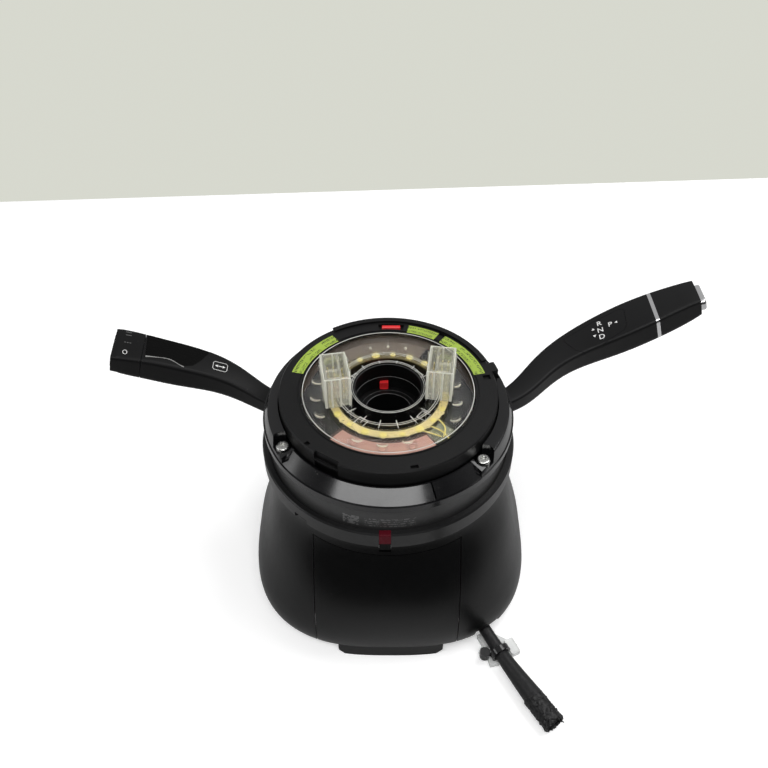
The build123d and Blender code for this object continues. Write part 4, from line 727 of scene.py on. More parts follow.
class Blank:
    """One piece on the bench, shaped with edit-mode operators until it is done."""

    def __init__(self, name: str, kind: str, **sizes: object) -> None:
        """Put a primitive on the bench.

        Args:
            name: The piece's name.
            kind: The primitive, such as "cube" or "grid".
            **sizes: The primitive's own sizes, in metres.
        """
        bpy.ops.object.select_all(action="DESELECT")
        getattr(bpy.ops.mesh, f"primitive_{kind}_add")(**sizes)
        self.piece = bpy.context.object
        self.piece.name = name
        self.piece.data.name = name

    @classmethod
    def unit(cls, name: str, kind: str, size: Sequence[float], **place: object) -> "Blank":
        """Put a primitive on the bench and bring it to a width, a depth and, for a solid, a height."""
        return cls(name, kind, size=1.0, **place).settle((*size, 1.0)[:3])

    @classmethod
    def of(cls, piece: bpy.types.Object, name: str) -> "Blank":
        """Put an object that is already there on the bench.

        Args:
            piece: The object.
            name: Its new name.

        Returns:
            The blank.
        """
        blank = cls.__new__(cls)
        blank.piece = piece
        blank.hold()
        piece.name = name
        piece.data.name = name
        return blank

    @classmethod
    def packed(cls, node: bpy.types.Object, name: str) -> "Blank":
        """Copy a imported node's mesh and merge its loose triangles.

        Args:
            node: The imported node.
            name: The copy's name.

        Returns:
            The copy, on the bench.
        """
        blank = cls.of(placed(name, node.data.copy()), name)
        with blank.whole():
            bpy.ops.mesh.remove_doubles(threshold=0.001 * MM)
            bpy.ops.mesh.tris_convert_to_quads(face_threshold=0.02, shape_threshold=3.14)
        bpy.ops.mesh.customdata_custom_splitnormals_clear()
        bpy.ops.object.shade_smooth_by_angle(angle=math.radians(12.0))
        return blank

    def hold(self, *others: "Blank") -> None:
        """Select this piece and some others, with this one active.

        Args:
            *others: The other pieces.
        """
        bpy.ops.object.select_all(action="DESELECT")
        for blank in (*others, self):
            blank.piece.select_set(True)
        bpy.context.view_layer.objects.active = self.piece

    def settle(self, scale: Sizes = (1.0, 1.0, 1.0)) -> "Blank":
        """Scale the piece and put its place into its mesh.

        Args:
            scale: The scale along each axis.

        Returns:
            The piece.
        """
        self.piece.scale = scale
        bpy.ops.object.transform_apply(location=True, rotation=True, scale=True)
        return self

    @contextmanager
    def faces(self, test: Callable[[Vector, Vector], bool]) -> Iterator[None]:
        """Open the piece for edit-mode operators with some faces chosen.

        Args:
            test: Says from a face's middle and normal whether it is chosen.
        """
        bpy.ops.object.mode_set(mode="EDIT")
        bpy.ops.mesh.select_mode(type="FACE")
        bpy.ops.mesh.select_all(action="DESELECT")
        bpy.ops.object.mode_set(mode="OBJECT")
        for face in self.piece.data.polygons:
            face.select = test(face.center, face.normal)
        bpy.ops.object.mode_set(mode="EDIT")
        yield
        bpy.ops.object.mode_set(mode="OBJECT")

    @contextmanager
    def whole(self) -> Iterator[None]:
        """Open the piece for edit-mode operators with all of it chosen."""
        bpy.ops.object.mode_set(mode="EDIT")
        bpy.ops.mesh.select_mode(type="VERT")
        bpy.ops.mesh.select_all(action="SELECT")
        yield
        bpy.ops.object.mode_set(mode="OBJECT")

    def modify(self, kind: str, **settings: object) -> "Blank":
        """Add a modifier and apply it.

        Args:
            kind: The modifier's Blender type.
            **settings: Its settings.

        Returns:
            The piece.
        """
        modifier = self.piece.modifiers.new(kind.lower(), kind)
        for key, value in settings.items():
            setattr(modifier, key, value)
        bpy.ops.object.modifier_apply(modifier=modifier.name)
        return self

    def spin(self, steps: int, turn: float) -> "Blank":
        """Spin all of the piece about the column axis.

        Args:
            steps: The number of steps.
            turn: The turn, in degrees.

        Returns:
            The piece, with its doubled corners merged and every face turned outwards.
        """
        with self.whole():
            bpy.ops.mesh.spin(
                steps=steps, angle=math.radians(turn), center=(0.0, 0.0, 0.0), axis=(0.0, 0.0, 1.0)
            )
        with self.whole():
            bpy.ops.mesh.remove_doubles(threshold=0.002 * MM)
            bpy.ops.mesh.normals_make_consistent(inside=False)
        return self

    def crown(self, border: float, rise: float) -> "Blank":
        """Inset the top and raise what is inside.

        Args:
            border: The width of the border that stays.
            rise: How far the inside rises; below 0 it sinks.

        Returns:
            The piece.
        """
        with self.faces(lambda _, normal: normal.z > 0.9):
            bpy.ops.mesh.inset(thickness=border)
            bpy.ops.transform.translate(value=(0.0, 0.0, rise))
        return self

    def outline(self, line: float) -> "Blank":
        """Leave only the border of a flat piece.

        Args:
            line: The border's width.

        Returns:
            The piece.
        """
        with self.whole():
            bpy.ops.mesh.inset(thickness=line)
            bpy.ops.mesh.delete(type="FACE")
        return self

    def divide(self, cuts: int) -> "Blank":
        """Divide every edge of the piece.

        Args:
            cuts: The number of cuts in an edge.

        Returns:
            The piece.
        """
        with self.whole():
            bpy.ops.mesh.subdivide(number_cuts=cuts)
        return self

    def copy(self, name: str, move: Matrix) -> "Blank":
        """Copy the piece with its own mesh.

        Args:
            name: The copy's name.
            move: Where the copy goes, from where this piece is.

        Returns:
            The copy, on the bench.
        """
        self.hold()
        bpy.ops.object.duplicate(linked=False)
        other = Blank.of(bpy.context.object, name)
        other.piece.data.transform(move)
        return other

    def scrap(self) -> None:
        """Remove a piece that was only there to be copied."""
        bpy.data.objects.remove(self.piece)

    def finish(
        self, body: str, finish: Finish, slot: str, replaced: Sequence[str] = ()
    ) -> bpy.types.Object:
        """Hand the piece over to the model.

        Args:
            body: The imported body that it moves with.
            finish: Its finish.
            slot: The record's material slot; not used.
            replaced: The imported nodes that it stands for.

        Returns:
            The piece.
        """
        self.piece.data.materials.clear()
        self.piece.data.materials.append(finish.material())
        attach(self.piece, body)
        if replaced:
            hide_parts(*replaced)
        LOG.info("piece %s rides on %s", self.piece.name, body)
        return self.piece


def post(name: str, sides: int, size: Pair, middle: Sequence[float]) -> Blank:
    """Return an upright cylinder of a number of sides, a radius and a height, and a middle."""
    radius, height = size
    return Blank(name, "cylinder", vertices=sides, radius=radius, depth=height, location=middle).settle()


def gather(name: str, parts: Sequence[Blank]) -> Blank:
    """Join parts into one piece.

    Args:
        name: The piece's name.
        parts: The parts, one or more.

    Returns:
        The piece, on the bench.
    """
    first, *others = parts
    first.hold(*others)
    if others:
        bpy.ops.object.join()
    first.piece.name = name
    return first


def arc_strip(name: str, radii: Pair, levels: Pair, angles: Pair, steps: int) -> Blank:
    """Spin an upright rectangle about the column axis.

    Args:
        name: The strip's name.
        radii: The strip's inner and outer radius.
        levels: Its lowest and highest level.
        angles: The angles that it runs between, the lower one first.
        steps: The number of steps.

    Returns:
        The strip, closed at both ends.
    """
    middle = polar(sum(radii) / 2, angles[0], sum(levels) / 2)
    upright = (math.radians(90.0), 0.0, math.radians(angles[0]))
    size = (radii[1] - radii[0], levels[1] - levels[0])
    strip = Blank.unit(name, "plane", size, location=middle, rotation=upright)
    return strip.spin(steps, angles[0] - angles[1])


def bead(name: str, radius: float, level: float, size: Pair, sides: int = 8) -> Blank:
    """Spin a small oval about the column axis.

    Args:
        name: The bead's name.
        radius: The radius of the bead's middle.
        level: The level of its middle.
        size: Its width and height.
        sides: The number of sides of the oval.

    Returns:
        The closed ring.
    """
    ring = Blank(
        name, "circle", vertices=sides, radius=0.5, fill_type="NOTHING",
        location=(radius, 0.0, level), rotation=(math.radians(90.0), 0.0, 0.0),
    )
    ring.settle((*size, 1.0)).spin(96, 360.0)
    bpy.ops.object.shade_smooth()
    return ring


def frame_blank(name: str, size: Pair, line: float, height: float) -> Blank:
    """Return a rectangular frame standing on the origin.

    Args:
        name: The frame's name.
        size: Its outer width and depth.
        line: The width of its border.
        height: How tall it stands.

    Returns:
        The frame.
    """
    border = Blank.unit(name, "plane", size).outline(line)
    border.modify("SOLIDIFY", thickness=height, offset=1.0)
    return border.modify("BEVEL", width=0.2 * min(line, height), segments=1)


def smooth_line(
    name: str, points: Sequence[Point], girths: Sequence[float], radius: float, sides: int
) -> bpy.types.Object:
    """Lay a smooth, round curve along points.

    Args:
        name: The curve's name.
        points: Its control points, in millimetres.
        girths: Its thickness at each point, as a share of the radius.
        radius: Its radius.
        sides: The resolution of its section.

    Returns:
        The curve.
    """
    curve = bpy.data.curves.new(name, "CURVE")
    curve.dimensions = "3D"
    curve.bevel_depth = radius
    curve.bevel_resolution = sides
    curve.use_fill_caps = True
    spline = curve.splines.new("NURBS")
    spline.points.add(len(points) - 1)
    for point, place, girth in zip(spline.points, points, girths):
        point.co = (*(value * MM for value in place), 1.0)
        point.radius = girth
    spline.order_u = 3
    spline.use_endpoint_u = True
    return placed(name, curve)


def tube(name: str, points: Sequence[Point], radii: Sequence[float], sides: int = 2) -> Blank:
    """Lay a round strand along points.

    Args:
        name: The strand's name.
        points: The points of its line, in millimetres.
        radii: Its radius at each point, in millimetres.
        sides: The resolution of its section.

    Returns:
        The strand as a mesh, on the bench.
    """
    Blank.of(smooth_line(name, points, radii, MM, sides), name)
    bpy.ops.object.convert(target="MESH")
    bpy.ops.object.shade_smooth()
    return Blank.of(bpy.context.object, name)


# -------------------------------------------------------------------- studio
@dataclass
class Studio:
    """The table, the light and the camera.

    Attributes:
        table_level: The height of the table.
        table_edge: Where the table's far edge is, straight behind the module.
        edge_turn: How far that edge is turned, in degrees.
        table_reach: Half of the table's width.
        eye: The camera's place.
        look_down: How far the camera looks below the horizon, in degrees.
        lens_mm: The focal length.
        sensor_mm: The width of the sensor.
        paper: The table's colour.
        wall: The colour past the table.
        room_light: The strength of the even light.
        room_gloss: How bright the back of the room looks in gloss.
        room_front: How far in front of the module the room turns dim in gloss.
        room_dim: How bright the front of the room still looks in gloss.
        room_turn: Where, from front to back, the room turns bright in gloss.
        paper_glow: What the camera sees the table brighter by.
        dusk: The colour of the table's front part in gloss.
        dusk_fade: The width over which the table turns to that colour.
        dusk_least: How much of that colour the whole table has in gloss.
        lamps: The name, place, width and height, and power of each softbox.
        lit_point: What the softboxes point at.
    """

    table_level: float = -130 * MM
    table_edge: float = 426 * MM
    edge_turn: float = 3.44
    table_reach: float = 3.0
    eye: Point = (-2.3 * MM, -314.4 * MM, 303.6 * MM)
    look_down: float = 43.67
    lens_mm: float = 38.44
    sensor_mm: float = 36.0
    paper: Colour = (0.86, 0.86, 0.86)
    wall: Colour = (0.68, 0.69, 0.62)
    room_light: float = 0.28
    room_gloss: float = 0.42
    room_front: float = 0.12
    room_dim: float = 0.03
    room_turn: Pair = (-0.5, 0.2)
    paper_glow: float = 0.34
    dusk: Colour = (0.05, 0.05, 0.05)
    dusk_fade: float = 0.15
    dusk_least: float = 0.4
    lamps: tuple[tuple[str, Point, Pair, float], ...] = (
        ("rear_softbox", (0.6, 0.22, 1.05), (0.8, 0.7), 9.0),
        ("front_softbox", (-0.1, -0.55, 0.89), (1.06, 0.32), 6.9),
        ("side_softbox", (-0.95, -0.15, 0.45), (0.4, 0.3), 1.2),
    )
    lit_point: Point = (0.0, 0.0, -0.04)

    def build(self) -> None:
        """Make the stage, the lamps and the camera."""
        self._camera()
        self._table()
        self._world()
        for name, place, size, watts in self.lamps:
            self._lamp(name, place, size, watts)
        bpy.context.scene.view_settings.view_transform = "Standard"

    def _camera(self) -> None:
        """Add the camera."""
        data = bpy.data.cameras.new("camera")
        data.sensor_width = self.sensor_mm
        data.lens = self.lens_mm
        camera = placed("camera", data)
        camera.location = self.eye
        camera.rotation_euler = (math.radians(90.0 - self.look_down), 0.0, 0.0)
        bpy.context.scene.camera = camera

    def _table(self) -> None:
        """Add the pale table top; the camera sees it glow, and gloss sees its front part dim."""
        table = Blank("table_top", "plane", size=2 * self.table_reach).piece
        edge = stand((0.0, self.table_edge, self.table_level), self.edge_turn)
        table.data.transform(edge @ Matrix.Translation((0.0, -self.table_reach, 0.0)))
        graph = Graph.material("table_paper")
        paper = graph.surface(
            Base_Color=graph.blend(graph.noise(60.0), tone(self.paper, 0.985), self.paper),
            Roughness=0.6,
            Specular_IOR_Level=0.2,
        )
        glow = graph.node("ShaderNodeEmission", sockets={"Color": WHITE, "Strength": self.paper_glow})
        seen = graph.node("ShaderNodeAddShader", sockets={0: paper, 1: glow})
        _, along, _ = graph.parts()
        near = 1.0 - along.step(-self.room_front - self.dusk_fade, -self.room_front)
        share = near * (1.0 - self.dusk_least) + self.dusk_least
        dusk = graph.node("ShaderNodeBsdfDiffuse", sockets={"Color": self.dusk})
        lit = self._mix(graph, graph.ray("Glossy") * share, paper, dusk)
        table.data.materials.append(graph.close(self._mix(graph, graph.ray("Camera"), lit, seen)))

    def _world(self) -> None:
        """Light the stage evenly; show a pale wall past the table, and a dim front of the room in gloss."""
        world = bpy.data.worlds.new("room")
        bpy.context.scene.world = world
        graph = Graph(world)
        heading = graph.node("ShaderNodeTexCoord", output="Generated")
        depth = graph.node("ShaderNodeSeparateXYZ", sockets={0: heading}, output="Y")
        behind = depth.step(*self.room_turn)
        even, gloss, wall = (
            graph.node("ShaderNodeBackground", sockets={"Color": colour, "Strength": strength})
            for colour, strength in (
                (WHITE, self.room_light),
                (WHITE, behind * self.room_gloss + self.room_dim),
                (self.wall, 1.0),
            )
        )
        indoors = self._mix(graph, graph.ray("Glossy"), even, gloss)
        graph.close(self._mix(graph, graph.ray("Camera"), indoors, wall))

    @staticmethod
    def _mix(graph: Graph, amount: Port, first: Port, second: Port) -> Port:
        """Return the mix of two shaders by an amount from 0 to 1."""
        return graph.node("ShaderNodeMixShader", sockets={0: amount, 1: first, 2: second})

    def _lamp(self, name: str, place: Point, size: Pair, watts: float) -> None:
        """Hang a softbox.

        Args:
            name: The lamp's name.
            place: Where it hangs.
            size: Its width and height.
            watts: Its power.
        """
        data = bpy.data.lights.new(name, "AREA")
        data.shape = "RECTANGLE"
        data.size, data.size_y = size
        data.energy = watts
        lamp = placed(name, data)
        lamp.location = place
        lamp.rotation_mode = "QUATERNION"
        lamp.rotation_quaternion = (Vector(self.lit_point) - Vector(place)).to_track_quat("-Z", "Y")


# --------------------------------------------------------------- top of module
@dataclass
class RimLabels:
    """The film labels on the top plate, either side of the lock bar.

    Attributes:
        radii: The inner and outer radius.
        thickness: The film's thickness.
        spans: The angles that each strip runs between.
    """

    radii: Pair = (47.7 * MM, 54.0 * MM)
    thickness: float = 0.12 * MM
    spans: tuple[Pair, ...] = ((126.0, 166.0), (57.2, 77.0), (13.0, 52.8))

    def build(self) -> None:
        """Make the strips."""
        names = ("left_label", "upper_right_label", "lower_right_label")
        for name, span in zip(names, self.spans):
            steps = round((span[1] - span[0]) / 2.0)
            strip = arc_strip(name, self.radii, (0.0, self.thickness), span, steps)
            strip.modify("BEVEL", width=0.03 * MM, segments=1)
            strip.finish("base", Finish.LABEL, "ribbon_yellow")


@dataclass
class RollerGlints:
    """Pale arcs on the carrier, painted as the glints on the front rims of its rollers, and three pale pins
    at the rear whose colour paints the glints on their tops.

    Attributes:
        places: The middle of each glint arc, in millimetres.
        reach: The arc's radius.
        wall: The arc's thickness.
        levels: The arc's foot and top.
        sweep: The angles that the arc runs between.
        droop: How far its ends lie lower, and the distance from the middle at which they start.
        pins: The angles of the three small pins at the rear.
        pin_circle: The radius that the pins stand on.
        pin_size: A pin's radius and height.
        pin_level: The level of a pin's middle.
    """

    places: tuple[Pair, ...] = (
        (-38.6, 11.4), (-38.6, -1.4), (-35.5, -13.7), (36.3, 9.0), (36.4, -4.8), (34.6, -16.6),
        (-15.8, -30.9), (-3.1, -34.4), (9.6, -32.0),
    )
    reach: float = 3.3 * MM
    wall: float = 0.85 * MM
    levels: Pair = (-5.2 * MM, -4.2 * MM)
    sweep: Pair = (-158.0, -22.0)
    droop: Pair = (0.5 * MM, 1.7 * MM)
    pins: tuple[float, ...] = (75.0, 90.0, 105.0)
    pin_circle: float = 39.1 * MM
    pin_size: Pair = (0.75 * MM, 1.2 * MM)
    pin_level: float = -4.6 * MM

    def build(self) -> None:
        """Make one glint arc, copy it to the other places, and add the pins."""
        fall, start = self.droop
        radii = (self.reach - self.wall, self.reach)
        arc_glint = arc_strip("carrier_finger", radii, self.levels, self.sweep, 10)
        with arc_glint.faces(lambda middle, normal: normal.z > 0.9 and abs(middle.x) > start):
            bpy.ops.transform.translate(value=(0.0, 0.0, -fall))
        arc_glint.modify("BEVEL", width=0.1 * MM, segments=1)
        bpy.ops.object.shade_smooth()
        parts = []
        for count, (across, along) in enumerate(self.places):
            spot = stand((across * MM, along * MM, 0.0), 0.5 * across - 2.0)
            parts.append(arc_glint.copy(f"carrier_finger_{count}", spot))
        for count, angle in enumerate(self.pins):
            middle = polar(self.pin_circle, angle, self.pin_level)
            pin = post(f"carrier_pin_{count}", 12, self.pin_size, middle)
            parts.append(pin.crown(0.2 * MM, 0.25 * MM))
        arc_glint.scrap()
        gather("carrier_fingers", parts).finish("carrier", Finish.FINGER, "roller_plastic")


@dataclass
class RibbonLead:
    """The ribbon's loose strands at the front right of the carrier, and the foils' caps.

    Attributes:
        strands: The points of each strand, in millimetres.
        first_roller: The angle of the first roller.
        pitch: The angle between rollers.
        front_rollers: The rollers that stand in the front foil, counted from the first.
        rear_rollers: The rollers that stand in the rear foil.
        roller_radius: The radius that the rollers stand on.
        cap_size: A cap's radius and height.
        cap_level: The level of a cap's middle.
        strand_mm: The radius of a strand.
        patch: The radii, levels and angles of the pale stretch beside the strands.
    """

    strands: tuple[tuple[Point, ...], ...] = (
        ((26.0, -19.0, -3.9), (28.5, -22.5, -3.3), (29.5, -27.0, -3.4), (28.0, -31.0, -4.3)),
        ((22.0, -24.0, -3.8), (26.0, -26.5, -3.3), (29.5, -30.0, -3.5), (31.0, -32.5, -4.5)),
        ((17.5, -27.0, -3.8), (23.0, -29.5, -3.4), (27.0, -31.0, -3.9)),
    )
    first_roller: float = -5.0
    pitch: float = 22.5
    front_rollers: tuple[int, ...] = (-5, -4, -3)
    rear_rollers: tuple[int, ...] = (2, 3, 4, 5, 6)
    roller_radius: float = 39.1 * MM
    cap_size: Pair = (1.5 * MM, 0.4 * MM)
    cap_level: float = -4.9 * MM
    strand_mm: float = 0.42
    patch: tuple[Pair, ...] = (
        (33.6 * MM, 42.6 * MM), (-5.2 * MM, -4.95 * MM), (-54.5, -37.0),
    )

    def build(self) -> None:
        """Lay the strands, the pale stretch beside them and the foils' caps."""
        laid = [
            tube(f"strand_{count}", points, [self.strand_mm] * len(points))
            for count, points in enumerate(self.strands)
        ]
        gather("ribbon_strands", laid).finish("carrier", Finish.RIBBON, "ribbon_yellow")
        self._caps("front_foil_caps", self.front_rollers, Finish.FRONT_FOIL, "foil_copper")
        self._caps("rear_foil_caps", self.rear_rollers, Finish.REAR_FOIL, "foil_bronze")
        patch = arc_strip("ribbon_pale_patch", *self.patch, 8)
        patch.finish("carrier", Finish.PATCH, "ribbon_yellow")

    def _caps(self, name: str, rollers: Sequence[int], finish: Finish, slot: str) -> None:
        """Close a foil's holes round the stems of its rollers.

        Args:
            name: The piece's name.
            rollers: The rollers, counted from the first.
            finish: The foil's finish.
            slot: The foil's material slot.
        """
        caps = []
        for step in rollers:
            middle = polar(self.roller_radius, self.first_roller + step * self.pitch, self.cap_level)
            cap = post(f"{name}_{step}", 20, self.cap_size, middle)
            caps.append(cap.crown(0.35 * MM, 0.12 * MM))
        gather(name, caps).finish("carrier", finish, slot)


@dataclass
class RibbonLobes:
    """The bright lobes where the laps of the inner coil stand proud.

    Attributes:
        count: How many there are.
        first: The angle of the first one.
        pitch_radius: The radius of their middles.
        level: The level of their middles.
        shape: A lobe's half sizes, in millimetres.
        unevenness: How much their sizes vary.
    """

    count: int = 20
    first: float = -5.0
    pitch_radius: float = 30.9 * MM
    level: float = -3.15 * MM
    shape: Sizes = (1.7, 2.0, 0.62)
    unevenness: float = 0.22

    def build(self) -> None:
        """Make one lobe and copy it round the coil."""
        lobe = Blank("ribbon_lobe", "ico_sphere", subdivisions=3, radius=MM).settle(self.shape)
        with lobe.faces(lambda place, _: abs(place.y) > 0.7 * MM and place.z > -0.2 * MM):
            bpy.ops.transform.vertex_random(offset=0.12 * MM, seed=2)
        with lobe.faces(lambda _, normal: normal.z < -0.6):
            bpy.ops.transform.resize(value=(1.0, 1.0, 0.3), center_override=(0.0, 0.0, -0.4 * MM))
        bpy.ops.object.shade_smooth()
        parts = []
        for step in range(self.count):
            spot = around(self.pitch_radius, self.first + step * 360.0 / self.count, self.level)
            swell = Matrix.Scale(1.0 + self.unevenness * math.sin(2.3 * step), 4)
            parts.append(lobe.copy(f"ribbon_lobe_{step}", spot @ swell))
        lobe.scrap()
        gather("ribbon_lobes", parts).finish("rotor", Finish.RIBBON, "ribbon_yellow")


@dataclass
class RotorEdges:
    """Pale beads painted as the highlights along the clear rotor's moulded edges, and the grip of its
    centring key.

    Attributes:
        rims: The radius, level, width and height of each painted rim highlight, in millimetres.
        bore_lines: The same for the faint painted highlights down the bore.
        channel: The radius of the middle of the ribbed channel.
        windows: The angles of the square windows in the channel's floor.
        window_size: A window's width and depth.
        window_line: The width and height of its frame, painted as the highlight round the window.
        window_level: The level of the windows' lower edges.
        rib_count: How many ribs stand in the channel.
        first_rib: The angle of the first rib.
        rib_size: The length, width and height of the painted highlight on top of a rib.
        rib_level: The level of its middle.
        grip_place: The middle of the centring key's grip.
        grip_size: The grip's width, depth and height.
        grip_dent: The border and the depth of the hollow in its face.
    """

    rims: tuple[tuple[float, float, float, float], ...] = (
        (45.75, 0.52, 0.42, 0.16),
        (19.9, 2.02, 0.3, 0.2),
        (19.0, 2.0, 0.22, 0.16),
        (27.85, 1.02, 0.3, 0.16),
        (26.75, 1.0, 0.24, 0.16),
    )
    bore_lines: tuple[tuple[float, float, float, float], ...] = (
        (17.95, -8.0, 0.3, 0.4),
        (17.9, 1.2, 0.2, 0.3),
        (12.7, -15.95, 0.4, 0.2),
        (15.4, -16.0, 0.2, 0.12),
    )
    channel: float = 23.35 * MM
    windows: tuple[float, ...] = (-128.0, -37.0, 48.0, 139.5)
    window_size: Pair = (5.7 * MM, 5.7 * MM)
    window_line: Pair = (0.4 * MM, 0.35 * MM)
    window_level: float = -6.5 * MM
    rib_count: int = 16
    first_rib: float = 11.25
    rib_size: Sizes = (5.8 * MM, 0.4 * MM, 0.2 * MM)
    rib_level: float = -3.25 * MM
    grip_place: Point = (-2.3 * MM, 16.9 * MM, -13.2 * MM)
    grip_size: Sizes = (4.8 * MM, 2.6 * MM, 4.8 * MM)
    grip_dent: Pair = (0.8 * MM, 0.4 * MM)

    def build(self) -> None:
        """Make the painted highlights on the rims, down the bore, round the windows and on the ribs' tops,
        and the key's grip.
        """
        for name, finish, beads in (
            ("rotor_bright_rims", Finish.LINE, self.rims),
            ("bore_faint_lines", Finish.FAINT_LINE, self.bore_lines),
        ):
            made = [
                bead(f"{name}_{count}", radius * MM, level * MM, (width * MM, height * MM))
                for count, (radius, level, width, height) in enumerate(beads)
            ]
            gather(name, made).finish("rotor", finish, "clear_plastic")
        self._channel()
        self._grip()

    def _channel(self) -> None:
        """Make the painted highlights round the windows and on the ribs' tops as one piece."""
        border = frame_blank("window_frame", self.window_size, *self.window_line)
        parts = []
        for angle in self.windows:
            spot = around(self.channel, angle, self.window_level)
            parts.append(border.copy(f"window_frame_{angle:.0f}", spot))
        rib = Blank.unit("rib_top", "cube", self.rib_size).modify("BEVEL", width=0.06 * MM, segments=1)
        for step in range(self.rib_count):
            spot = around(self.channel, self.first_rib + step * 360.0 / self.rib_count, self.rib_level)
            parts.append(rib.copy(f"rib_top_{step}", spot))
        border.scrap()
        rib.scrap()
        gather("channel_edges", parts).finish("rotor", Finish.LINE, "clear_plastic")

    def _grip(self) -> None:
        """Make the part of the centring key that is pulled out by hand."""
        grip = Blank.unit("centring_key_grip", "cube", self.grip_size, location=self.grip_place)
        border, dent = self.grip_dent
        with grip.faces(lambda _, normal: normal.y < -0.9):
            bpy.ops.mesh.inset(thickness=border)
            bpy.ops.transform.translate(value=(0.0, dent, 0.0))
        grip.modify("BEVEL", width=0.3 * MM, segments=2)
        grip.finish("rotor", Finish.RED, "red_plastic")


@dataclass
class TowerEdges:
    """The upright ribs and the lip of a clear connector tower, in a paler, milkier copy of its plastic that
    paints their highlights.

    Attributes:
        name: The tower's side.
        middle: The tower's middle.
        turn: How far it is turned, in degrees.
        size: Its width, depth and height.
        lip: How far the lip at the top reaches down, how wide it is, and how far it stands out.
        rib_gap: How much lower than the tower a rib is.
        ribs: The places of the ribs on the tower, in millimetres, and their radii.
    """

    name: str
    middle: Pair
    turn: float
    size: Sizes = (13.0 * MM, 20.0 * MM, 20.0 * MM)
    lip: Sizes = (0.5 * MM, 0.4 * MM, 0.5 * MM)
    rib_gap: float = 1.2 * MM
    ribs: tuple[Sizes, ...] = (
        (-6.3, -9.9, 0.75), (-3.0, -10.05, 0.5), (1.4, -10.05, 0.55), (6.3, -9.9, 0.75),
        (-6.6, -4.0, 0.5), (-6.6, 3.2, 0.5), (6.6, -5.4, 0.5), (6.6, 6.4, 0.5),
        (-6.2, 9.8, 0.7), (6.2, 9.8, 0.7), (0.0, 10.05, 0.5),
    )

    def build(self) -> None:
        """Make the ribs and the lip."""
        width, depth, height = self.size
        foot = stand((*self.middle, 0.0), self.turn)
        rib = post("tower_rib", 10, (MM, height - self.rib_gap), (0.0, 0.0, height / 2))
        rib.crown(0.35 * MM, 0.4 * MM)
        bpy.ops.object.shade_smooth_by_angle(angle=math.radians(50.0))
        parts = []
        for count, (across, along, radius) in enumerate(self.ribs):
            spot = foot @ Matrix.Translation((across * MM, along * MM, 0.0))
            slim = Matrix.Diagonal((radius, radius, 1.0, 1.0))
            parts.append(rib.copy(f"{self.name}_rib_{count}", spot @ slim))
        rib.scrap()
        drop, line, stand_out = self.lip
        lip = frame_blank(f"{self.name}_lip", (width + stand_out, depth + stand_out), line, drop)
        lip.piece.data.transform(foot @ Matrix.Translation((0.0, 0.0, height - drop)))
        edges = gather(f"{self.name}_tower_edges", [*parts, lip])
        edges.finish("rotor", Finish.TOWER_RIB, "natural_plastic")


@dataclass
class GlossCover:
    """The upper cover, with the thin posts beside its screw pockets brought down to the ramp.

    Attributes:
        posts: The angles that each post stands between.
        ramp_foot: The radius where the ramp's slope starts.
        ramp_top: The level of the ramp there.
        ramp_fall: How much the ramp falls for its width.
    """

    posts: tuple[Pair, ...] = ((-147.8, -143.9), (-46.1, -42.2))
    ramp_foot: float = 60.2 * MM
    ramp_top: float = -9.6 * MM
    ramp_fall: float = 0.181

    def build(self, frame: dict) -> None:
        """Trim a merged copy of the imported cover.

        Args:
            frame: The loaded frame.
        """
        cover = Blank.packed(frame["nodes"]["upper_cover"], "upper_cover_gloss")
        for vertex in cover.piece.data.vertices:
            angle = math.degrees(math.atan2(vertex.co.y, vertex.co.x))
            if any(low < angle < high for low, high in self.posts):
                slope = max(0.0, vertex.co.xy.length - self.ramp_foot) * self.ramp_fall
                vertex.co.z = min(vertex.co.z, self.ramp_top - slope)
        with cover.whole():
            bpy.ops.mesh.remove_doubles(threshold=0.01 * MM)
        cover.finish("base", Finish.COVER, "black_gloss", ["upper_cover"])


@dataclass
class WiperRing:
    """The turn stalk's ring, drawn on into a collar round the wash button.

    Attributes:
        reach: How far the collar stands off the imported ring's end.
        taper: How much the collar narrows along each axis.
    """

    reach: float = 3.1 * MM
    taper: Sizes = (1.0, 0.985, 0.97)

    def build(self, frame: dict) -> None:
        """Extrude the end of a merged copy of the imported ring.

        Args:
            frame: The loaded frame.
        """
        ring = Blank.packed(frame["nodes"]["wiper_ring"], "wiper_ring_collared")
        outward = [face for face in ring.piece.data.polygons if face.normal.x < -0.7]
        axis = max(outward, key=lambda face: face.area).normal.copy()
        end = max(vertex.co.dot(axis) for vertex in ring.piece.data.vertices)

        def at_end(place: Vector, normal: Vector) -> bool:
            """Choose the ring's end face."""
            return normal.dot(axis) > 0.99 and place.dot(axis) > end - 0.05 * MM

        with ring.faces(at_end):
            move = {"value": tuple(axis * self.reach)}
            bpy.ops.mesh.extrude_region_move(TRANSFORM_OT_translate=move)
            bpy.ops.transform.resize(value=self.taper)
        ring.finish("wiper_knob", Finish.STALK, "black_smooth", ["wiper_ring"])


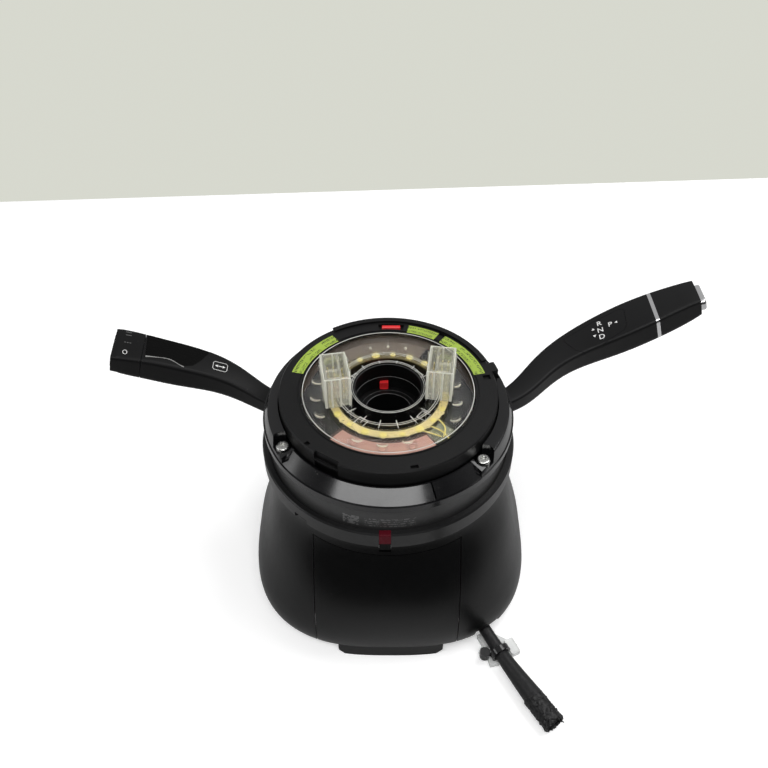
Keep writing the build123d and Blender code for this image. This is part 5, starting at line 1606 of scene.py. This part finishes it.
# --------------------------------------------------------------------- marks
@dataclass(frozen=True)
class Seat:
    """A flat seat for marks over a stalk's curved face.

    Attributes:
        origin: The middle of the seat, in millimetres.
        across: The direction in which words run.
        up: The direction of the tops of the letters.
        out: The direction away from the stalk.
        clearance: A height that is above all of the stalk.
    """

    origin: Point
    across: Point
    up: Point
    out: Point
    clearance: float = 12 * MM

    def touch(self, nodes: Sequence[bpy.types.Object], along: float, over: float) -> Vector:
        """Return the point on the nodes under a point of the seat.

        Args:
            nodes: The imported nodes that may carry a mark.
            along: The point's distance from the origin in the words' direction, in metres.
            over: Its distance towards the tops of the letters.

        Returns:
            The highest point found there.
        """
        across, up, out = Vector(self.across), Vector(self.up), Vector(self.out)
        above = Vector(self.origin) * MM + across * along + up * over + out * self.clearance
        found = [node.ray_cast(above, -out) for node in nodes]
        points = [point for hit, point, _, _ in found if hit]
        if not points:
            raise ValueError(f"nothing under ({along:.4f}, {over:.4f}) of the seat")
        return min(points, key=lambda point: (above - point).length)

    def drape(self, blank: Blank, nodes: Sequence[bpy.types.Object], place: Pair, lift: float) -> None:
        """Lay a flat mark on the nodes, point by point.

        Args:
            blank: The mark, flat in its own x and y.
            nodes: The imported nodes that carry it.
            place: Where the mark's own origin goes on the seat, in millimetres.
            lift: How high it stands off them.
        """
        out = Vector(self.out)
        for vertex in blank.piece.data.vertices:
            along = place[0] * MM + vertex.co.x
            over = place[1] * MM + vertex.co.y
            vertex.co = self.touch(nodes, along, over) + out * lift


def letter(word: str, height: float, weight: float, lean: float) -> Blank:
    """Return a flat word as a mesh, finely divided so that it can be draped.

    Args:
        word: What it says.
        height: The height of a capital.
        weight: How much bolder than the plain letters.
        lean: How far the word is turned, in degrees.

    Returns:
        The word, centred on its own origin.
    """
    name = f"mark_{word.lower()}"
    bpy.ops.object.select_all(action="DESELECT")
    bpy.ops.object.text_add()
    text = bpy.context.object
    text.name = name
    text.data.body = word
    text.data.size = height / 0.72
    text.data.offset = weight
    text.data.align_x = "CENTER"
    text.data.align_y = "CENTER"
    bpy.ops.object.convert(target="MESH")
    mark = Blank.of(bpy.context.object, name)
    mark.piece.data.transform(Matrix.Rotation(math.radians(lean), 4, "Z"))
    return mark.divide(2)


def disc(name: str, sides: int, radius: float, turn: float) -> Blank:
    """Return a flat, filled figure with equal sides, turned by an angle in radians."""
    pose = {"fill_type": "NGON", "rotation": (0.0, 0.0, turn)}
    return Blank(name, "circle", vertices=sides, radius=radius, **pose)


def arrow(name: str, size: float, turn: float) -> Blank:
    """Return a small filled triangle that points up.

    Args:
        name: The mark's name.
        size: The distance from its middle to a corner.
        turn: How far it is turned, in degrees.

    Returns:
        The triangle.
    """
    mark = disc(name, 3, size, math.radians(turn)).settle()
    with mark.whole():
        bpy.ops.mesh.inset(thickness=0.25 * size)
        bpy.ops.mesh.subdivide(number_cuts=1)
    return mark


def ring_mark(name: str, size: Pair, line: float, sides: int) -> Blank:
    """Return a flat, round outline.

    Args:
        name: The mark's name.
        size: Its width and height.
        line: The width of its line.
        sides: The number of its sides.

    Returns:
        The outline.
    """
    flats = math.cos(math.pi / sides)
    mark = disc(name, sides, 0.5, math.pi / sides).settle((size[0] / flats, size[1] / flats, 1.0))
    return mark.outline(line).divide(2)


def plate_mark(name: str, size: Pair, line: float) -> Blank:
    """Return the flat outline of a plate with cut corners.

    Args:
        name: The mark's name.
        size: Its width and height.
        line: The width of its line.

    Returns:
        The outline.
    """
    mark = Blank.unit(name, "plane", size)
    with mark.whole():
        bpy.ops.mesh.bevel(offset=0.16 * size[1], affect="VERTICES")
    return mark.outline(line).divide(3)


def bar_mark(name: str, size: Pair) -> Blank:
    """Return a flat bar of a given width and height."""
    return Blank.unit(name, "grid", size, x_subdivisions=6, y_subdivisions=2)


@dataclass
class StalkMarks:
    """The gear marks of the selector and the wash and wipe marks of the turn stalk.

    Places on the seats are in millimetres.

    Attributes:
        panel: The seat over the selector's panel.
        end: The seat over the turn stalk's end.
        lift: How far the ink stands off the plastic.
        thickness: The ink's thickness.
        capital: The height of a letter, how much bolder it is, and its lean in degrees.
        gears: The place of each gear's letter.
        pointers: The turn and place of each arrow beside them.
        pointer: The size of those arrows.
        off: The width, height and line of the mark for off, and its place.
        dot: The width and height of a dot on the ring.
        dots: The place of each dot.
        dash: The width and height of a dash on the ring.
        dashes: The place of each dash.
        wash: The place of the wash mark.
        wash_plate: Its width, height and line.
        wash_arrow: The size of its arrows, and how far they are from its middle.
        wash_shaft: The width and height of the bar between the arrows.
    """

    panel: Seat = Seat(
        (119.5, 47.5, -2.4), (0.906, 0.1812, 0.3825), (-0.167, 0.983, -0.070), (-0.389, 0.0, 0.9212)
    )
    end: Seat = Seat(
        (-118.8, 31.6, -2.4), (0.931, 0.030, -0.364), (-0.032, 0.999, 0.001), (0.364, 0.011, 0.931)
    )
    lift: float = 0.03 * MM
    thickness: float = 0.04 * MM
    capital: Sizes = (3.5 * MM, 0.05 * MM, -12.0)
    gears: tuple[tuple[str, Pair], ...] = (
        ("R", (5.2, 7.6)), ("N", (4.0, 2.5)), ("D", (2.9, -2.5)), ("P", (10.3, 3.1)),
    )
    pointers: tuple[tuple[float, Pair], ...] = (
        (-12.0, (0.6, 5.3)), (168.0, (-0.4, 0.5)), (78.0, (13.9, 2.5)),
    )
    pointer: float = 1.1 * MM
    off: tuple[Sizes, Pair] = ((2.5 * MM, 3.3 * MM, 0.32 * MM), (-27.1, -8.3))
    dot: Pair = (0.9 * MM, 0.5 * MM)
    dots: tuple[Pair, ...] = ((-28.4, -0.5), (-27.0, -0.5), (-25.6, -0.5))
    dash: Pair = (3.2 * MM, 0.5 * MM)
    dashes: tuple[Pair, ...] = ((-27.6, 5.8), (-27.9, 8.4))
    wash: Pair = (24.9, -2.6)
    wash_plate: Sizes = (8.4 * MM, 6.2 * MM, 0.26 * MM)
    wash_arrow: Pair = (1.05 * MM, 1.9)
    wash_shaft: Pair = (2.2 * MM, 0.5 * MM)

    def build(self, frame: dict) -> None:
        """Print both stalks.

        Args:
            frame: The loaded frame.
        """
        panel = [frame["nodes"][name] for name in ("selector_panel", "selector_lever")]
        lever = [frame["nodes"][name] for name in ("turn_lever", "wiper_ring")]
        ring = (lever, self.end, "wiper_knob")
        self._print("gear_marks", self._gear_marks(), panel, self.panel, "selector", Finish.WHITE_INK)
        (width, height, line), place = self.off
        off = [(ring_mark("mark_off", (width, height), line, 16), place)]
        self._print("wipe_off_mark", off, *ring, Finish.WHITE_INK)
        steps = [(bar_mark("mark_dot", self.dot), place) for place in self.dots]
        steps += [(bar_mark("mark_dash", self.dash), place) for place in self.dashes]
        self._print("wipe_step_marks", steps, *ring, Finish.GREY_INK)
        self._print("wash_mark", self._wash_marks(), lever, self.end, "turn_stalk", Finish.WHITE_INK)

    def _gear_marks(self) -> list[tuple[Blank, Pair]]:
        """Return the selector's letters and arrows with their places."""
        marks = [(letter(word, *self.capital), place) for word, place in self.gears]
        return marks + [(arrow("mark_pointer", self.pointer, turn), place) for turn, place in self.pointers]

    def _wash_marks(self) -> list[tuple[Blank, Pair]]:
        """Draw the wash mark.

        Returns:
            Its plate, arrows and shaft with their places.
        """
        width, height, line = self.wash_plate
        size, reach = self.wash_arrow
        across, over = self.wash
        return [
            (plate_mark("mark_plate", (width, height), line), self.wash),
            (arrow("mark_arrow_left", size, 90.0), (across - reach, over)),
            (arrow("mark_arrow_right", size, -90.0), (across + reach, over)),
            (bar_mark("mark_shaft", self.wash_shaft), self.wash),
        ]

    def _print(
        self,
        name: str,
        marks: Sequence[tuple[Blank, Pair]],
        nodes: Sequence[bpy.types.Object],
        seat: Seat,
        body: str,
        ink: Finish,
    ) -> None:
        """Drape marks on their nodes and join them into one print.

        Args:
            name: The print's name.
            marks: The marks with their places on the seat.
            nodes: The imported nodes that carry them.
            seat: The seat over those nodes.
            body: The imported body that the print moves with.
            ink: The print's finish.
        """
        for mark, place in marks:
            seat.drape(mark, nodes, place, self.lift)
        joined = gather(name, [mark for mark, _ in marks])
        joined.modify("SOLIDIFY", thickness=self.thickness, offset=1.0)
        joined.finish(body, ink, "satin_chrome")


@dataclass
class PocketEdgeGlint:
    """A ragged pale line along the lower edge of the turn stalk's empty pocket, painted as the highlight on
    that glossy edge.

    Attributes:
        seat: The seat over the stalk's end.
        edge: The points of the ragged line on the seat, in millimetres.
        radii: The line's least radius and how much it grows, in millimetres.
        root: Its radius at its first point.
    """

    seat: Seat = StalkMarks.end
    edge: tuple[Pair, ...] = (
        (-16.0, -8.8), (-13.0, -8.1), (-10.5, -7.8), (-7.5, -7.1), (-3.3, -6.7), (-1.0, -7.4),
        (1.2, -8.3), (3.4, -9.4), (5.3, -9.7),
    )
    radii: Pair = (0.16, 0.14)
    root: float = 0.55

    def build(self, frame: dict) -> None:
        """Lay the painted highlight on the stalk.

        Args:
            frame: The loaded frame.
        """
        lever = [frame["nodes"]["turn_lever"]]
        points = [tuple(self.seat.touch(lever, along * MM, over * MM) / MM) for along, over in self.edge]
        least, growth = self.radii
        swell = [least + growth * abs(math.sin(2.1 * count)) for count in range(1, len(points))]
        glint_line = tube("pocket_burr", points, [self.root, *swell], 1)
        with glint_line.whole():
            bpy.ops.transform.vertex_random(offset=0.12 * MM, seed=4)
        glint_line.finish("turn_stalk", Finish.BURR, "satin_chrome")


# ------------------------------------------------------------------- harness
@dataclass
class Harness:
    """The taped wiring that leaves the shroud's front corner.

    Attributes:
        route: The points that the wiring follows, in millimetres.
        girth: The wiring's thickness at each point, as a share of the whole.
        radius: The radius of the taped wiring.
        length: Its real length, gland to end wrap; not used.
        end_size: The radius and length of the torn tape at its end.
        end_place: How far the torn tape reaches back over the wiring, and how far it hangs lower.
        mouth: The thickness of the torn tape and the depth of its mouth.
        weave: The size of the torn tape's finest folds.
        tears: How far its frayed end and the rest of it are pulled about.
        frayed: The share of its length, from its middle, at which it starts to fray.
        wire: The points and radii of the bare wire that shows in the torn end, in millimetres.
        clip_place: The middle of the clip's foot.
        clip_turn: How far the clip is turned, in degrees.
        clip_foot: The width, depth and height of its foot.
        clip_slot: Where the slot in its foot ends, where the slot's middle is, and half its width.
        lobe_level: The level of the middle of the clip's lobes.
        lobe_height: How tall the lobes are.
        clip_lobes: The middle, size and turn of each lobe, in millimetres and degrees.
    """

    route: tuple[Point, ...] = (
        (32.6, -32.8, -56.0),
        (32.6, -32.8, -82.7),
        (37.8, -42.0, -104.0),
        (47.2, -58.4, -118.0),
        (58.0, -77.6, -121.4),
        (67.2, -94.4, -122.3),
        (78.8, -112.6, -122.8),
    )
    girth: tuple[float, ...] = (1.0, 1.0, 0.95, 0.85, 0.8, 1.0, 1.3)
    radius: float = 4.3 * MM
    length: float = 135.9 * MM
    end_size: Pair = (5.9 * MM, 19.0 * MM)
    end_place: Pair = (2.5 * MM, 0.6 * MM)
    mouth: Pair = (1.1 * MM, 2.4 * MM)
    weave: float = 0.7 * MM
    tears: Pair = (1.7 * MM, 1.0 * MM)
    frayed: float = 0.4
    wire: tuple[tuple[Point, float], ...] = (
        ((88.6, -122.0, -123.4), 0.4), ((90.6, -124.6, -123.0), 0.4), ((92.4, -125.4, -122.6), 0.3),
    )
    clip_place: Point = (62.8 * MM, -80.2 * MM, -130 * MM)
    clip_turn: float = -28.0
    clip_foot: Sizes = (18.0 * MM, 15.0 * MM, 2.0 * MM)
    clip_slot: Sizes = (-3.0 * MM, -1.2 * MM, 1.5 * MM)
    lobe_level: float = -127.8
    lobe_height: float = 4.4
    clip_lobes: tuple[tuple[Pair, Pair, float], ...] = (
        ((55.9, -75.6), (6.6, 8.6), 25.0),
        ((59.4, -88.4), (5.6, 4.6), 14.0),
        ((70.6, -79.8), (5.4, 9.4), 25.0),
    )

    def build(self, frame: dict) -> None:
        """Make the wiring and what is on it.

        Args:
            frame: The loaded frame.
        """
        wiring = self._wiring()
        torn_end = self._torn_end()
        wire = tube("harness_bare_wire", *zip(*self.wire)).finish("base", Finish.TAPE, "tape_black")
        clip = self._clip()
        2 * self.radius
        dress(frame, ["harness_tie"], Finish.COVER)
        dress(frame, ["harness_gland"], Finish.RUBBER)

    def _wiring(self) -> bpy.types.Object:
        """Lay the taped wiring.

        Returns:
            The wiring, a smooth curve.
        """
        wiring = smooth_line("harness_wiring", self.route, self.girth, self.radius, 6)
        wiring.data.resolution_u = 16
        wiring.data.materials.append(Finish.TAPE.material())
        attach(wiring, "base")
        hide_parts("harness_cable")
        LOG.info("piece %s rides on base", wiring.name)
        return wiring

    def _torn_end(self) -> bpy.types.Object:
        """Wind the loose, torn turns of tape round the end of the wiring.

        Returns:
            The torn end.
        """
        before, last = (Vector(point) * MM for point in self.route[-2:])
        ahead = (last - before).normalized()
        radius, length = self.end_size
        back, drop = self.end_place
        middle = last + ahead * (length / 2 - back) - Vector((0.0, 0.0, drop))
        end = Blank(
            "harness_torn_end", "cylinder", vertices=18, radius=radius, depth=length,
            location=middle, rotation=ahead.to_track_quat("Z", "Y").to_euler(),
        ).settle()
        wall, depth = self.mouth
        with end.faces(lambda _, normal: normal.dot(ahead) > 0.9):
            bpy.ops.mesh.inset(thickness=wall)
            bpy.ops.mesh.extrude_region_move(TRANSFORM_OT_translate={"value": tuple(-ahead * depth)})
        with end.faces(lambda _, normal: abs(normal.dot(ahead)) < 0.5):
            bpy.ops.mesh.subdivide(number_cuts=9)
        end.modify("REMESH", mode="VOXEL", voxel_size=self.weave)
        torn, creased = self.tears
        fray = length * self.frayed
        with end.faces(lambda place, _: (place - middle).dot(ahead) > fray):
            bpy.ops.transform.vertex_random(offset=torn, seed=7)
        with end.faces(lambda place, _: (place - middle).dot(ahead) < fray):
            bpy.ops.transform.vertex_random(offset=creased, seed=3)
        end.modify("SMOOTH", factor=0.5, iterations=3)
        bpy.ops.object.shade_smooth_by_angle(angle=math.radians(40.0))
        return end.finish("base", Finish.TAPE, "tape_black", ["harness_end_wrap"])

    def _clip(self) -> bpy.types.Object:
        """Make the see-through fixing clip under the wiring.

        Returns:
            The clip.
        """
        width, depth, height = self.clip_foot
        foot = Blank.unit("clip_foot", "grid", (width, depth), x_subdivisions=5, y_subdivisions=6)
        end, middle, half = self.clip_slot
        with foot.faces(lambda place, _: abs(place.y - middle) < half and place.x < end):
            bpy.ops.mesh.delete(type="FACE")
        foot.modify("SOLIDIFY", thickness=height, offset=1.0)
        foot.piece.data.transform(stand(self.clip_place, self.clip_turn))
        parts = [foot]
        for count, (place, size, lean) in enumerate(self.clip_lobes):
            lobe = Blank.unit(
                f"clip_lobe_{count}", "cube", Vector((*size, self.lobe_height)) * MM,
                location=Vector((*place, self.lobe_level)) * MM, rotation=(0.0, 0.0, math.radians(lean)),
            )
            parts.append(lobe.crown(0.8 * MM, -0.5 * MM))
        clip = gather("harness_fixing_clip", parts).modify("BEVEL", width=0.35 * MM, segments=2)
        return clip.finish("base", Finish.CLIP, "translucent_plastic", ["harness_clip"])


# ---------------------------------------------------------------- the module
NODE_FINISHES: dict[Finish, tuple[str, ...]] = {
    Finish.SHROUD: ("shroud_main", "shroud_front_panel"),
    Finish.TAB: ("index_tab",),
    Finish.HOUSING: ("module_housing", "board_connector"),
    Finish.TRIM: ("trim_ring",),
    Finish.PLATE: ("top_plate",),
    Finish.COVER: ("upper_cover",),
    Finish.INNER_BLACK: ("stator_case", "support_deck", "drive_ring"),
    Finish.STALK: ("turn_lever",),
    Finish.SELECTOR: ("selector_lever", "selector_panel", "selector_tip_cap"),
    Finish.SWITCH: ("wiper_ring", "wash_button"),
    Finish.GLOSS_LINER: ("pocket_liner",),
    Finish.GEAR: (
        "detent_tracks", "sensor_drive_gear", "sensor_gear_a", "sensor_gear_b",
        "selector_yoke", "turn_yoke",
    ),
    Finish.CHIP: ("board_components",),
    Finish.BOARD: ("circuit_board",),
    Finish.CARRIER: ("ribbon_carrier",),
    Finish.ROLLER: ("carrier_rollers",),
    Finish.COIL: ("ribbon_inner_coil",),
    Finish.OUTER_RIBBON: ("ribbon_outer_coil",),
    Finish.RED: ("centring_key", "lock_bar"),
    Finish.CLEAR: ("clear_rotor",),
    Finish.TOWER: ("left_connector_tower", "right_connector_tower"),
    Finish.FRONT_FOIL: ("front_shield",),
    Finish.REAR_FOIL: ("rear_shield",),
    Finish.SCREW: (
        "cover_screws", "clamp_screws", "clamp_fastener", "turn_pivot_pin", "selector_pivot_pin",
        "turn_cross_pin", "selector_cross_pin", "turn_detent_plunger", "selector_detent_plunger",
    ),
    Finish.CHROME: ("selector_trim_band", "park_button"),
    Finish.CONTACT: ("connector_pins", "left_tower_terminals", "right_tower_terminals"),
    Finish.CASTING: ("column_clamp",),
}


def main() -> None:
    """Build the scene, sub-assembly by sub-assembly."""
    logging.basicConfig(level=logging.INFO, format="%(name)s: %(message)s")
    for leftover in list(bpy.data.objects):
        bpy.data.objects.remove(leftover)
    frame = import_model()
    bpy.ops.object.select_all(action="DESELECT")
    Studio().build()
    for finish, nodes in NODE_FINISHES.items():
        dress(frame, nodes, finish)
    RimLabels().build()
    RollerGlints().build()
    RibbonLead().build()
    RibbonLobes().build()
    RotorEdges().build()
    TowerEdges("left", (-27.6 * MM, -4.0 * MM), 10.0).build()
    TowerEdges("right", (27.6 * MM, 1.0 * MM), -8.0).build()
    StalkMarks().build(frame)
    PocketEdgeGlint().build(frame)
    GlossCover().build(frame)
    WiperRing().build(frame)
    Harness().build(frame)


if __name__ == "__main__":
    main()
